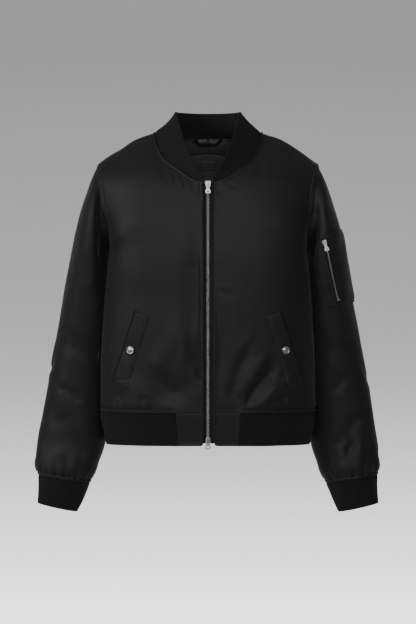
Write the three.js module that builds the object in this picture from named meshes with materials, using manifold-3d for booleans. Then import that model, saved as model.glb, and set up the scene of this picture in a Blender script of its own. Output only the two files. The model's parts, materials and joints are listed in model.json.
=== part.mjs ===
// A hip-length bomber jacket, closed by a two-way zip and filled out as if worn.
// Millimetres, +Z up, the front faces -Y and the wearer's left arm is at +X.
// The origin is the middle of the neck at shoulder height, where a wearer holds the jacket up.
import * as THREE from "three";
import { mergeVertices } from "three/addons/utils/BufferGeometryUtils.js";
import Module from "manifold-3d";

const wasm = await Module();
wasm.setup();

// Cloth thicknesses and seams
const SATIN = 2; // shell and its light interlining
const RIB_CLOTH = 2.6; // ribbed knit, without the rib's own height
const COLLAR_CLOTH = 3; // the collar's knit is folded double
const RIB_RISE = 0.8;
const RIB_PITCH = 5;
const COLLAR_RIB_PITCH = 4.4;
const LINING = 0.8;
const SEAM_GAP = 0.3;
const EDGE_INSET = 0.2; // each piece ends this far short of its seam

// Body
const HEM_Z = -624;
const ARMPIT_Z = -222;
const CENTRE_EDGE_X = 12; // the folded edge of each front beside the zip
const HEM_FACING_X = 64; // where the satin at the centre front gives way to the ribbed hem

// Neckline, an ellipse in plan that drops towards the zip
const NECK = {
  halfWidth: 108, halfDepth: 87.5, centreY: -7.5, sideZ: 13, drop: 107, backDrop: 4, power: 1.1,
  rise: 0.9, turnUp: 1.25, // how the cut face of its seam turns up away from the zip
};
const COLLAR = {
  halfWidth: 65.5, halfDepth: 68.5, centreY: -28.5, sideZ: 53, drop: 138, backRise: 3, power: 2.1,
};
const COLLAR_CROWN = 4; // how far the collar's middle stands out from a straight wall
const SHOULDER_SEAM_ANGLE = 80; // degrees round the neck from the zip to the forward shoulder seam
const NECK_START_ANGLE = THREE.MathUtils.radToDeg(Math.asin(CENTRE_EDGE_X / NECK.halfWidth));

// Armhole, an ellipse seen from the side that leans out towards the shoulder point
const ARMHOLE = { halfDepth: 62, halfHeight: 85, lean: 24, flare: 0.6 };
const ARMHOLE_ROUND = 472; // length round the armhole
const GATHERS = 11; // waves of cloth drawn into each cuff
const ARM_STEPS = 3 * GATHERS; // steps round a sleeve, so that each wave has three
const FRONT_ARM_STEPS = 13; // of these, the ones from the armpit up the front to the shoulder seam
const ARM_STEP = ARMHOLE_ROUND / ARM_STEPS;

// The body's outline from the front and from the side. square 0 makes its section an ellipse and
// more makes it boxier, as it is under the arms.
const SIDE = [
  { z: -627, out: 207, square: 0.15 },
  { z: -557, out: 219, square: 0.15 },
  { z: -484, out: 219.5, square: 0.15 },
  { z: -365, out: 215, square: 0.18 },
  { z: -248, out: 204, square: 0.36 },
  { z: -203, out: 199, square: 0.38 },
  { z: -165, out: 198, square: 0.2 },
  { z: -130, out: 197, square: 0.05 },
  { z: -100, out: 197, square: 0 },
];
const CENTRE_FRONT = [
  { z: -627, out: 100 },
  { z: -557, out: 109 },
  { z: -484, out: 114 },
  { z: -365, out: 117 },
  { z: -248, out: 117 },
  { z: -203, out: 114 },
  { z: -150, out: 107 },
  { z: -93, out: 94.5 },
];
const CENTRE_BACK = [
  { z: -627, out: 96 },
  { z: -557, out: 105 },
  { z: -484, out: 109 },
  { z: -365, out: 106 },
  { z: -248, out: 107 },
  { z: -150, out: 107 },
  { z: -80, out: 99 },
  { z: -22, out: 87 },
  { z: 9, out: 80 },
];

// Each row of a panel runs from its inner edge to its outer edge. inner is the distance along the
// centre line and then the neckline, 0 at the neckline's end, and outer the distance along the side
// seam and then the armhole, 0 at the armpit. wrap is how far the row turns round the body, in
// degrees, sag how late it drops, puff how far it stands out and crown how far it stands up.
const FRONT_ROWS = [
  { inner: -530, outer: -402, wrap: 90, sag: 1, puff: 0, crown: 0 },
  { inner: -464, outer: -335, wrap: 90, sag: 1, puff: 0, crown: 0 },
  { inner: -407, outer: -277, wrap: 90, sag: 1, puff: 0, crown: 0 },
  { inner: -320, outer: -190, wrap: 90, sag: 1, puff: 0, crown: 0 },
  { inner: -235, outer: -105, wrap: 90, sag: 1, puff: 0, crown: 0 },
  { inner: -165, outer: -38, wrap: 90, sag: 1, puff: 0, crown: 0 },
  { inner: -122, outer: 0, wrap: 88, sag: 1, puff: 0, crown: 0 },
  { inner: -62, outer: 60, wrap: 80, sag: 1.6, puff: 5, crown: 0 },
  { inner: 0, outer: 8 * ARM_STEP, wrap: 64, sag: 1.8, puff: 6, crown: 0 },
  { inner: 52, outer: 140, wrap: 50, sag: 1.5, puff: 6, crown: 2 },
  { inner: 104, outer: 163, wrap: 38, sag: 1.2, puff: 4, crown: 5 },
  { inner: 158, outer: FRONT_ARM_STEPS * ARM_STEP, wrap: 30, sag: 1, puff: 1, crown: 8 },
];
const BACK_ROWS = [
  { inner: -633, outer: -402, wrap: 90, sag: 1, puff: 0, crown: 0 },
  { inner: -566, outer: -335, wrap: 90, sag: 1, puff: 0, crown: 0 },
  { inner: -509, outer: -277, wrap: 90, sag: 1, puff: 0, crown: 0 },
  { inner: -422, outer: -190, wrap: 90, sag: 1, puff: 0, crown: 0 },
  { inner: -338, outer: -105, wrap: 90, sag: 1, puff: 0, crown: 0 },
  { inner: -268, outer: -38, wrap: 90, sag: 1, puff: 0, crown: 0 },
  { inner: -229, outer: 0, wrap: 88, sag: 1, puff: 0, crown: 0 },
  { inner: -160, outer: 66, wrap: 80, sag: 1.6, puff: 6, crown: 0 },
  { inner: -92, outer: 120, wrap: 64, sag: 1.8, puff: 7, crown: 0 },
  { inner: -31, outer: 160, wrap: 51, sag: 1.6, puff: 6, crown: 2 },
  { inner: 0, outer: 13 * ARM_STEP, wrap: 42, sag: 1.4, puff: 4, crown: 4 },
  { inner: 46, outer: 206, wrap: 34, sag: 1.2, puff: 3, crown: 6 },
  { inner: 92, outer: 228, wrap: 30, sag: 1, puff: 1, crown: 8 },
  { inner: 134, outer: 254, wrap: 30, sag: 1, puff: 0, crown: 9 },
  { inner: 176, outer: (ARM_STEPS - FRONT_ARM_STEPS) * ARM_STEP, wrap: 30, sag: 1, puff: -1, crown: 8 },
];
const HEM_SEAM_ROW = 1;
const FRONT_NECK_ARC = 158;
const BACK_NECK_ARC = 176;

// Sections of the left sleeve from the bicep down: centre, half width seen from the front, half depth
// and how far the section tips up towards the outside, in degrees.
const SLEEVE = [
  { x: 240, y: 6, z: -233, width: 40, depth: 75, tip: 10 },
  { x: 247, y: 20, z: -330, width: 52, depth: 69, tip: 10.5 },
  { x: 258, y: 32, z: -431, width: 60, depth: 62, tip: 10.5 },
  { x: 269, y: 38, z: -532, width: 66, depth: 56, tip: 10.5 },
  { x: 280, y: 36, z: -612, width: 69, depth: 51, tip: 10.5 },
  { x: 290.5, y: 32, z: -657, width: 65, depth: 48, tip: 10 },
  { x: 296, y: 30, z: -685, width: 59, depth: 45, tip: 9 },
  { x: 296.5, y: 29, z: -697, width: 54, depth: 41, tip: 8.5 },
];
const CUFF = [
  { x: 296.5, y: 29, z: -697, width: 54, depth: 41, tip: 8.5 },
  { x: 300, y: 28, z: -716, width: 49, depth: 36, tip: 10 },
  { x: 305, y: 27, z: -738, width: 44.5, depth: 31.5, tip: 11.5 },
  { x: 310.5, y: 26, z: -757, width: 41, depth: 28, tip: 12.5 },
];
const BODY_CLEARANCE = 2.5; // between a sleeve and the body that it hangs against
const GATHER_HEIGHT = 2.6;

// Large folds, as lines seen from the front: a trough has a negative height.
const SLEEVE_FOLDS = [
  { name: "hollow under the shoulder point", x0: 220, z0: -62, x1: 212, z1: -235, width: 9, height: -11 },
  { name: "roll beside the hollow", x0: 233, z0: -70, x1: 236, z1: -300, width: 12, height: 4 },
  { name: "elbow bend", x0: 225, z0: -445, x1: 315, z1: -410, width: 16, height: -3 },
  { name: "drop above the cuff", x0: 262, z0: -640, x1: 300, z1: -580, width: 16, height: -5 },
];
const FRONT_FOLDS = {
  left: [
    { name: "drag line from the pocket", x0: 78, z0: -540, x1: 128, z1: -455, width: 13, height: -4 },
    { name: "roll beside it", x0: 108, z0: -545, x1: 158, z1: -500, width: 14, height: 4 },
    { name: "ripple beside the zip", x0: 30, z0: -300, x1: 34, z1: -470, width: 10, height: -3 },
  ],
  right: [
    { name: "sag over the hem", x0: 50, z0: -520, x1: 120, z1: -480, width: 26, height: -5 },
    { name: "roll under the pocket", x0: 95, z0: -455, x1: 60, z1: -390, width: 22, height: 3 },
    { name: "ripple beside the zip", x0: 27, z0: -350, x1: 30, z1: -460, width: 9, height: -4 },
  ],
};

// What lies on another piece stands this far off it, because the faces below it are flat
const LAID_GAP = 1.6;

// Hand pockets: the corners of a slanted welt, seen from the front, and its snap
const WELT = {
  top: { outer: [143, -351], inner: [116, -362] },
  bottom: { outer: [191, -497], inner: [163, -513] },
};
const WELT_CLOTH = 1.6;
const WELT_GAP = { left: 1.6, right: 1 };
const SNAP = {
  x: 154, z: -431,
  profile: [[0, 0], [7.4, 0], [8, 0.5], [8, 1.6], [7.2, 2.1], [6.4, 1.5], [5.4, 1.5], [4, 2.4], [2, 2.9], [0, 3]],
};

// Sleeve pocket on the wearer's left arm, between two levels of the sleeve and round it by angle.
// A zip divides it into a narrow front part and a wide back part.
const ARM_POCKET = {
  top: 0.66, bottom: 2.08, cloth: 1.6, slot: 4.2, front: [32, 80], zip: [84, 109], back: [200, 190],
};
const ARM_ZIP = {
  tapeHalf: 3.8, tape: 0.9, chainHalf: 2, chain: 1.4, start: 0.07, end: 0.92, slider: 0.86,
  stop: [0.025, 0.05],
};

// Front zip: depths are measured into the jacket from the cloth's outer face
const ZIP = {
  chainHalf: 2.9, chainFront: 0.6, chainBack: 4.4, tapeFront: 3.2, tapeBack: 4.1, tapeReach: 19,
};
const ZIP_TAPE = { top: -98, bottom: -618 };
const ZIP_CHAIN = { top: -97, bottom: -612 };
const UPPER_SLIDER_Z = -105; // its lower end
const LOWER_SLIDER_Z = -604; // its upper end, because it is turned over

// A slider in its own frame: across, up from its narrow end, and out of the cloth
const SLIDER = {
  height: 13, wideEnd: 11.5, narrowEnd: 9, corner: 1.6, plateBack: 0.2, plateFront: 1.4,
  rearFront: -4.9, rearBack: -6, wedgeHalf: 2.4, wedge: [9.3, 12.8],
};
const BAIL = { half: 1.2, ends: [1.8, 11.6], foot: 1.4, chamfer: 0.8, opening: 4.2, top: 5.4 };
const HINGE = { fromFoot: 1.5, out: 2.8 };
const TAB = {
  length: 23, thickness: 1.3, width: 6.4, waist: 4.6, end: 8.6, bar: 0.7,
  window: 7.7, windowHalf: 1.5, hole: 1.5,
};
const LOWER_TAB = { ...TAB, length: 20, waist: 5.4, end: 9, hole: 2.6 };
const ARM_SLIDER_SCALE = 0.85;

// Inside the back: a facing in two halves below the collar, then a half lining
const INNER_GAP = 1.2;
const FACING = { reach: 0.32, bottomZ: -23, topRow: 13 };
const LINING_PART = { reach: 0.5, bottomZ: -190 };
const LABEL = { half: 17, top: -38, bottom: -58, cloth: 0.6 };
const LOOP = {
  width: 7, cloth: 1.2, stand: 1.5,
  path: [[-30, 5], [-24, 1], [-17, -4], [0, -5], [17, -4], [24, 1], [30, 5]],
};

const rad = THREE.MathUtils.degToRad;
const vec = (x, y, z) => new THREE.Vector3(x, y, z);
const mix = THREE.MathUtils.lerp;
const clamp = THREE.MathUtils.clamp;

// Colours as seen in the photograph
const satin = new THREE.MeshStandardMaterial({ color: 0x17171a, roughness: 0.42, metalness: 0 });
const knit = new THREE.MeshStandardMaterial({ color: 0x111114, roughness: 0.85, metalness: 0 });
const liningCloth = new THREE.MeshStandardMaterial({ color: 0x1b1b1e, roughness: 0.5, metalness: 0 });
const tapeCloth = new THREE.MeshStandardMaterial({ color: 0x0c0c0e, roughness: 0.8, metalness: 0 });
const steel = new THREE.MeshStandardMaterial({ color: 0xb9b6b0, roughness: 0.3, metalness: 1 });

// A smooth curve through one column of a table, which never overshoots its rows. The rows stand at
// the values of another column, or at 0, 1, 2 and so on.
function track(rows, column, at) {
  const t = rows.map((row, i) => (at ? row[at] : i));
  const y = rows.map((row) => row[column]);
  const rise = y.slice(1).map((v, i) => (v - y[i]) / (t[i + 1] - t[i]));
  const slope = y.map((_, i) => {
    if (i === 0) return rise[0];
    if (i === y.length - 1) return rise[i - 1];
    const product = rise[i - 1] * rise[i];
    return product <= 0 ? 0 : (2 * product) / (rise[i - 1] + rise[i]);
  });
  return (x) => {
    let i = 0;
    while (i < t.length - 2 && x > t[i + 1]) i++;
    const h = t[i + 1] - t[i];
    const s = (x - t[i]) / h;
    const s2 = s * s;
    const s3 = s2 * s;
    return (2 * s3 - 3 * s2 + 1) * y[i] + (s3 - 2 * s2 + s) * h * slope[i]
      + (3 * s2 - 2 * s3) * y[i + 1] + (s3 - s2) * h * slope[i + 1];
  };
}

const tracks = (rows, columns) => Object.fromEntries(columns.map((c) => [c, track(rows, c)]));
const side = track(SIDE, "out", "z");
const square = track(SIDE, "square", "z");
const centreFront = track(CENTRE_FRONT, "out", "z");
const centreBack = track(CENTRE_BACK, "out", "z");

// A point of a loop round the neck, at an angle from the zip: 0 is the front, 180 the nape.
function neckLoop(loop, angle) {
  const c = Math.cos(rad(angle));
  const back = loop.backDrop ? -loop.backDrop : loop.backRise;
  return vec(
    loop.halfWidth * Math.sin(rad(angle)),
    loop.centreY - loop.halfDepth * c,
    loop.sideZ - loop.drop * Math.pow(Math.max(0, c), loop.power) + back * Math.max(0, -c),
  );
}

// A point of the armhole, at an angle from the armpit: 90 is its front, 180 the shoulder point.
function armhole(angle) {
  const c = Math.cos(rad(angle));
  return vec(
    side(ARMPIT_Z) + ARMHOLE.lean * Math.pow((1 - c) / 2, 2),
    -ARMHOLE.halfDepth * Math.sin(rad(angle)),
    ARMPIT_Z + ARMHOLE.halfHeight * (1 - c),
  );
}

function frontInner(s) {
  const z = neckLoop(NECK, NECK_START_ANGLE).z + s;
  if (s <= 0) return vec(CENTRE_EDGE_X, -centreFront(z), z);
  return neckLoop(NECK, mix(NECK_START_ANGLE, SHOULDER_SEAM_ANGLE, s / FRONT_NECK_ARC));
}

function backInner(s) {
  const z = neckLoop(NECK, 180).z + s;
  if (s <= 0) return vec(0, centreBack(z), z);
  return neckLoop(NECK, mix(180, SHOULDER_SEAM_ANGLE, s / BACK_NECK_ARC));
}

function outerEdge(s, turn) {
  if (s <= 0) return vec(side(ARMPIT_Z + s), 0, ARMPIT_Z + s);
  return armhole((turn * s * 360) / ARMHOLE_ROUND);
}

// A panel's surface: u runs from the inner edge to the outer edge and v counts the table's rows.
const BOXY_ABOVE = -100; // the section has its full roundness above this height
const CROWN_SHIFT = 1.5; // moves a row's crown towards the arm
function panelSurface(rows, inner, turn) {
  const at = tracks(rows, ["inner", "outer", "wrap", "sag", "puff", "crown"]);
  return (u, v) => {
    const a = inner(at.inner(v));
    const b = outerEdge(at.outer(v), turn);
    const wrap = rad(Math.min(90, at.wrap(v)));
    const power = 1 - square(Math.min(b.z, BOXY_ABOVE));
    const along = Math.pow(Math.sin(u * wrap) / Math.sin(wrap), power);
    const left = Math.max(0, (Math.cos(u * wrap) - Math.cos(wrap)) / (1 - Math.cos(wrap)));
    const depth = Math.pow(left, power);
    return vec(
      mix(a.x, b.x, along),
      mix(b.y, a.y, depth) - turn * at.puff(v) * Math.sin(Math.PI * u),
      mix(a.z, b.z, Math.pow(along, at.sag(v)))
        + at.crown(v) * Math.sin(Math.PI * Math.pow(u, CROWN_SHIFT)),
    );
  };
}

const frontBase = panelSurface(FRONT_ROWS, frontInner, 1);
const back = panelSurface(BACK_ROWS, backInner, -1);
const FRONT_TOP = FRONT_ROWS.length - 1;
const BACK_TOP = BACK_ROWS.length - 1;

// Angles are divided by this many degrees where a normal is measured, and stepped by this share
const ANGLE_UNIT = 60;
const TUBE_STEP = 5e-3;

// The outward normal of a surface of two parameters. flip is -1 where the parameters run clockwise.
function normalOf(surface, u, v, flip = 1, step = 1e-3) {
  const du = surface(u + step, v).sub(surface(u - step, v));
  const dv = surface(u, v + step).sub(surface(u, v - step));
  return du.cross(dv).multiplyScalar(flip).normalize();
}

// The same, from points inside the surface's own range.
const MARGIN = 0.02;
function edgeNormal(surface, u, v, top, flip = 1) {
  return normalOf(surface, clamp(u, MARGIN, 1 - MARGIN), clamp(v, MARGIN, top - MARGIN), flip);
}

// How far a set of folds lifts the cloth at a point seen from the front.
function foldHeight(folds, x, z) {
  return folds.reduce((sum, f) => {
    const dx = f.x1 - f.x0;
    const dz = f.z1 - f.z0;
    const t = clamp(((x - f.x0) * dx + (z - f.z0) * dz) / (dx * dx + dz * dz), 0, 1);
    const off = Math.hypot(x - f.x0 - t * dx, z - f.z0 - t * dz) / f.width;
    return sum + f.height * Math.exp(-off * off);
  }, 0);
}

// One front with its folds, which die away at its edges.
function frontSurface(folds) {
  return (u, v) => {
    const p = frontBase(u, v);
    const calm = clamp(Math.min(u, 1 - u) * 8, 0, 1) * clamp((v - HEM_SEAM_ROW) * 2, 0, 1);
    const lift = foldHeight(folds, p.x, p.z) * calm;
    return lift ? p.addScaledVector(edgeNormal(frontBase, u, v, FRONT_TOP), lift) : p;
  };
}
const fronts = { left: frontSurface(FRONT_FOLDS.left), right: frontSurface(FRONT_FOLDS.right) };

// The parameter at which a rising function reaches a value.
function solve(f, value, low, high) {
  for (let i = 0; i < 40; i++) {
    const middle = (low + high) / 2;
    if (f(middle) < value) low = middle;
    else high = middle;
  }
  return (low + high) / 2;
}

const SECTION = ["x", "y", "z", "width", "depth", "tip"];
const sleeveAt = tracks(SLEEVE, SECTION);
const cuffAt = tracks(CUFF, SECTION);

// A point of a tube's section: 0 degrees is its inner side, 90 its front and 180 its outer side.
function sectionPoint(at, level, angle, swell = 0) {
  const tip = rad(at.tip(level));
  const out = -Math.cos(rad(angle)) * (at.width(level) + swell);
  const forward = Math.sin(rad(angle)) * (at.depth(level) + swell);
  return vec(
    at.x(level) + out * Math.cos(tip),
    at.y(level) - forward,
    at.z(level) + out * Math.sin(tip),
  );
}

// Moves a point of a sleeve out of the body's section at its height.
function clearOfBody(p) {
  if (p.z > ARMPIT_Z || p.z < HEM_Z) return p;
  const gap = BODY_CLEARANCE * clamp((ARMPIT_Z - p.z) / 24, 0.12, 1);
  const power = 2 / (1 - square(p.z));
  const a = side(p.z) + gap;
  const b = (p.y < 0 ? centreFront(p.z) : centreBack(p.z)) + gap;
  const q = Math.pow(Math.abs(p.x) / a, power) + Math.pow(Math.abs(p.y) / b, power);
  if (q >= 1) return p;
  const grow = Math.pow(q, -1 / power);
  return p.set(p.x * grow, p.y * grow, p.z);
}

// The sleeve without folds: level 0 is the armhole, 1 the bicep, and then the table's rows.
function sleeveBase(level, angle) {
  const row = level - 1;
  if (row >= 0) return clearOfBody(sectionPoint(sleeveAt, row, angle));
  const start = armhole(angle);
  const end = clearOfBody(sectionPoint(sleeveAt, 0, angle));
  const below = sectionPoint(sleeveAt, 0.05, angle).sub(sectionPoint(sleeveAt, 0, angle)).normalize();
  const s = Math.sin(rad(angle));
  const top = (1 - Math.cos(rad(angle))) / 2;
  const leave = vec(0.75 - 0.3 * top, -0.35 * s, -0.25 - 0.7 * top).normalize();
  const length = start.distanceTo(end);
  const t = level;
  const t2 = t * t;
  const t3 = t2 * t;
  const p = start.multiplyScalar(2 * t3 - 3 * t2 + 1)
    .addScaledVector(leave, (t3 - 2 * t2 + t) * length)
    .addScaledVector(end, 3 * t2 - 2 * t3)
    .addScaledVector(below, (t3 - t2) * length);
  return clearOfBody(p);
}

// The sleeve with its folds and the gathers that run into the cuff.
const SLEEVE_END = SLEEVE.length;
function sleeveSurface(level, angle) {
  const p = sleeveBase(level, angle);
  const facing = Math.max(0, Math.sin(rad(angle)));
  const calm = clamp(level * 4, 0, 1) * clamp((SLEEVE_END - 0.6 - level) * 2, 0, 1);
  let lift = foldHeight(SLEEVE_FOLDS, p.x, p.z) * calm * Math.pow(facing, 0.5);
  const gathered = clamp((level - SLEEVE_END + 2.2) / 1.2, 0, 1) * clamp((SLEEVE_END - level) * 3, 0, 1);
  lift += GATHER_HEIGHT * gathered * Math.cos(rad(angle) * GATHERS);
  if (!lift) return p;
  return p.addScaledVector(sleeveNormal(level, angle), lift);
}

function sleeveNormal(level, angle) {
  const l = clamp(level, MARGIN, SLEEVE_END - MARGIN);
  return normalOf((a, b) => sleeveBase(a, b * ANGLE_UNIT), l, angle / ANGLE_UNIT, 1, TUBE_STEP);
}

// The direction in which the cloth has its thickness along a seam: halfway between the two pieces.
const bisect = (a, b) => a.clone().add(b).normalize();
const frontAt = tracks(FRONT_ROWS, ["inner", "outer"]);
const backAt = tracks(BACK_ROWS, ["inner", "outer"]);

// Round the armhole it points away from the armhole's middle, and outwards at the shoulder.
function armholeNormal(angle) {
  const c = Math.cos(rad(angle));
  return vec(ARMHOLE.flare * ((1 - c) / 2), -Math.sin(rad(angle)), -c).normalize();
}

// Round the neck it points up and out.
function neckDirection(angle) {
  const c = Math.cos(rad(angle));
  const up = NECK.rise * Math.min(1, NECK.turnUp * (1 - c));
  return vec(Math.sin(rad(angle)) / 2, -c, up).normalize();
}

// The seam of the neck, straight between the points that its panels have there.
let neckStations = [];
function betweenStations(of, angle) {
  const k = clamp(neckStations.findIndex((a) => a >= angle), 1, neckStations.length - 1);
  const [a, b] = [neckStations[k - 1], neckStations[k]];
  return of(a).lerp(of(b), clamp((angle - a) / (b - a), 0, 1));
}
const neckSeam = (angle) => betweenStations((a) => neckLoop(NECK, a), angle);
const neckNormal = (angle) => betweenStations(neckDirection, angle);

// The collar: w runs from its seam to its top edge.
function collarSurface(angle, w) {
  const seam = neckSeam(angle);
  const top = neckLoop(COLLAR, angle);
  const out = vec(Math.sin(rad(angle)), -Math.cos(rad(angle)), 0.6).normalize();
  const crown = COLLAR_CROWN * Math.sin(Math.PI * w) * clamp(seam.distanceTo(top) / 40, 0, 1);
  return seam.lerp(top, w).addScaledVector(out, crown);
}
const collarNormal = (angle, w) => (
  normalOf((a, b) => collarSurface(a * ANGLE_UNIT, b), angle / ANGLE_UNIT, w, 1, TUBE_STEP)
);

// Along the shoulder seam it lies halfway between the two panels.
function shoulderNormal(u) {
  const ahead = edgeNormal(frontBase, u, FRONT_TOP, FRONT_TOP);
  const n = bisect(ahead, edgeNormal(back, u, BACK_TOP, BACK_TOP, -1));
  const atNeck = neckDirection(SHOULDER_SEAM_ANGLE);
  const atArm = armholeNormal((FRONT_ARM_STEPS * 360) / ARM_STEPS);
  return atNeck.lerp(n, clamp(3 * u, 0, 1)).lerp(atArm, clamp(3 * u - 2, 0, 1)).normalize();
}

// A closed wall from a grid of outer points and the directions of its thickness.
// used says which cells of the grid belong to it, and round joins the last column to the first.
function wallGeometry({
  columns, rows, point, normal, thickness, used = () => true, round = false, flip = false,
}) {
  const wide = round ? columns : columns + 1;
  const outer = [];
  const inner = [];
  for (let j = 0; j <= rows; j++) {
    for (let i = 0; i < wide; i++) {
      const p = point(i, j);
      outer.push(p);
      inner.push(p.clone().addScaledVector(normal(i, j), -thickness));
    }
  }
  const total = outer.length;
  const id = (i, j) => (i % wide) + j * wide;
  const faces = [];
  const quad = (a, b, c, d) => faces.push(a, b, c, a, c, d);
  const here = (i, j) => {
    const column = round ? (i + columns) % columns : i;
    return j >= 0 && j < rows && column >= 0 && column < columns && used(column, j);
  };
  for (let j = 0; j < rows; j++) {
    for (let i = 0; i < columns; i++) {
      if (!here(i, j)) continue;
      const a = id(i, j);
      const b = id(i + 1, j);
      const c = id(i + 1, j + 1);
      const d = id(i, j + 1);
      quad(a, b, c, d);
      quad(total + a, total + d, total + c, total + b);
      if (!here(i, j - 1)) quad(b, a, total + a, total + b);
      if (!here(i, j + 1)) quad(d, c, total + c, total + d);
      if (!here(i - 1, j)) quad(a, d, total + d, total + a);
      if (!here(i + 1, j)) quad(c, b, total + b, total + c);
    }
  }
  return meshGeometry([...outer, ...inner], faces, flip);
}

function meshGeometry(points, faces, flip) {
  const ordered = flip ? faces.map((_, i) => faces[i - (i % 3) + [0, 2, 1][i % 3]]) : faces;
  const used = [...new Set(ordered)];
  const place = new Map(used.map((v, i) => [v, i]));
  const geometry = new THREE.BufferGeometry();
  const places = used.flatMap((v) => points[v].toArray());
  geometry.setAttribute("position", new THREE.Float32BufferAttribute(places, 3));
  geometry.setIndex(ordered.map((v) => place.get(v)));
  geometry.computeVertexNormals();
  return geometry;
}

const jacket = new THREE.Group();
jacket.name = "bomber_jacket";

function add(name, geometry, material, parent = jacket) {
  const mesh = new THREE.Mesh(geometry, material);
  mesh.name = name;
  parent.add(mesh);
  return mesh;
}

// A grid's point, drawn back at right angles from the cut faces of the seams that it lies on.
function trimmed(at, normal, i, j, edges) {
  const { columns, rows, left = true, right = true, bottom = true, top = true } = edges;
  const p = at(i, j);
  const move = vec(0, 0, 0);
  const draw = (inner, before, after) => {
    const d = normal(i, j).cross(after.clone().sub(before)).normalize();
    move.addScaledVector(d, EDGE_INSET * Math.sign(d.dot(inner.clone().sub(p))));
  };
  const upDown = () => [at(i, Math.max(j - 1, 0)), at(i, Math.min(j + 1, rows))];
  const across = () => [
    at(left ? Math.max(i - 1, 0) : i - 1, j),
    at(right ? Math.min(i + 1, columns) : i + 1, j),
  ];
  if (left && i === 0) draw(at(1, j), ...upDown());
  if (right && i === columns) draw(at(columns - 1, j), ...upDown());
  if (bottom && j === 0) draw(at(i, 1), ...across());
  if (top && j === rows) draw(at(i, rows - 1), ...across());
  return p.add(move);
}

// Mirrors points and directions for the wearer's right side, which is at -X.
const mirror = (p, sign) => p.set(p.x * sign, p.y, p.z);

// Steps through a list of stations, evenly between each pair.
function stations(list, steps) {
  const out = [list[0]];
  list.slice(1).forEach((b, i) => {
    const n = Array.isArray(steps) ? steps[i] : steps;
    for (let k = 1; k <= n; k++) out.push(mix(list[i], b, k / n));
  });
  return out;
}

// The column of a front at which the ribbed hem starts.
const facingU = solve((u) => frontBase(u, HEM_SEAM_ROW).x, HEM_FACING_X, 0, 1);

const neckAngle = (s) => mix(NECK_START_ANGLE, SHOULDER_SEAM_ANGLE, s / FRONT_NECK_ARC);
const backNeckAngle = (s) => mix(180, SHOULDER_SEAM_ANGLE, s / BACK_NECK_ARC);

// The stations of a panel's rows: evenly between the table's rows up to the armpit, and above it
// at the steps of the sleeve that is sewn to it.
const ARMPIT_ROW = 6;
function panelRows(at, first, top, steps) {
  const rows = stations(Array.from({ length: ARMPIT_ROW - first + 1 }, (_, i) => first + i), steps);
  const count = at === frontAt ? FRONT_ARM_STEPS : ARM_STEPS - FRONT_ARM_STEPS;
  for (let k = 1; k < count; k++) {
    const v = solve(at.outer, k * ARM_STEP, ARMPIT_ROW, top);
    rows.push(Math.abs(v - Math.round(v)) < 1e-6 ? Math.round(v) : v);
  }
  rows.push(top);
  return rows;
}
const HEM_FACING_COLUMNS = 2;
const PANEL_US = stations([0, facingU, 1], [HEM_FACING_COLUMNS, 9]);
const frontVs = panelRows(frontAt, 0, FRONT_TOP, [1, 3, 2, 2, 2, 1]);
const backVs = panelRows(backAt, HEM_SEAM_ROW, BACK_TOP, [3, 2, 2, 2, 1]);
neckStations = [
  NECK_START_ANGLE,
  ...frontVs.map((v) => frontAt.inner(v)).filter((s) => s > 0).map(neckAngle),
  ...backVs.map((v) => backAt.inner(v)).filter((s) => s >= 0).reverse().slice(1)
    .map(backNeckAngle),
];

// One front: its satin runs down to the hem beside the zip, and stops at the ribbed hem elsewhere.
function addFront(name, surface, sign) {
  const us = PANEL_US;
  const vs = frontVs;
  const last = vs.length - 1;
  const at = (i, j) => surface(us[i], vs[j]);
  const direction = (i, j) => {
    const u = us[i];
    const v = vs[j];
    if (j === last) return shoulderNormal(u);
    if (u === 1 && v >= ARMPIT_ROW) return armholeNormal((frontAt.outer(v) * 360) / ARMHOLE_ROUND);
    if (u === 1) return vec(1, 0, 0);
    if (u === 0 && frontAt.inner(v) >= 0) return neckDirection(neckAngle(frontAt.inner(v)));
    return edgeNormal(surface, u, v, FRONT_TOP);
  };
  const edges = { columns: us.length - 1, rows: last, bottom: false };
  const point = (i, j) => {
    const atArmpit = us[i] === 1 && vs[j] === ARMPIT_ROW;
    const p = atArmpit ? at(i, j).add(vec(-EDGE_INSET, -EDGE_INSET, 0)) : trimmed(at, direction, i, j, edges);
    return mirror(p, sign);
  };
  const normal = (i, j) => mirror(direction(i, j), sign);
  const used = (i, j) => j > 0 || i < HEM_FACING_COLUMNS;
  add(name, wallGeometry({
    columns: us.length - 1, rows: last, point, normal, thickness: SATIN, used, flip: sign < 0,
  }), satin);
}

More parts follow.
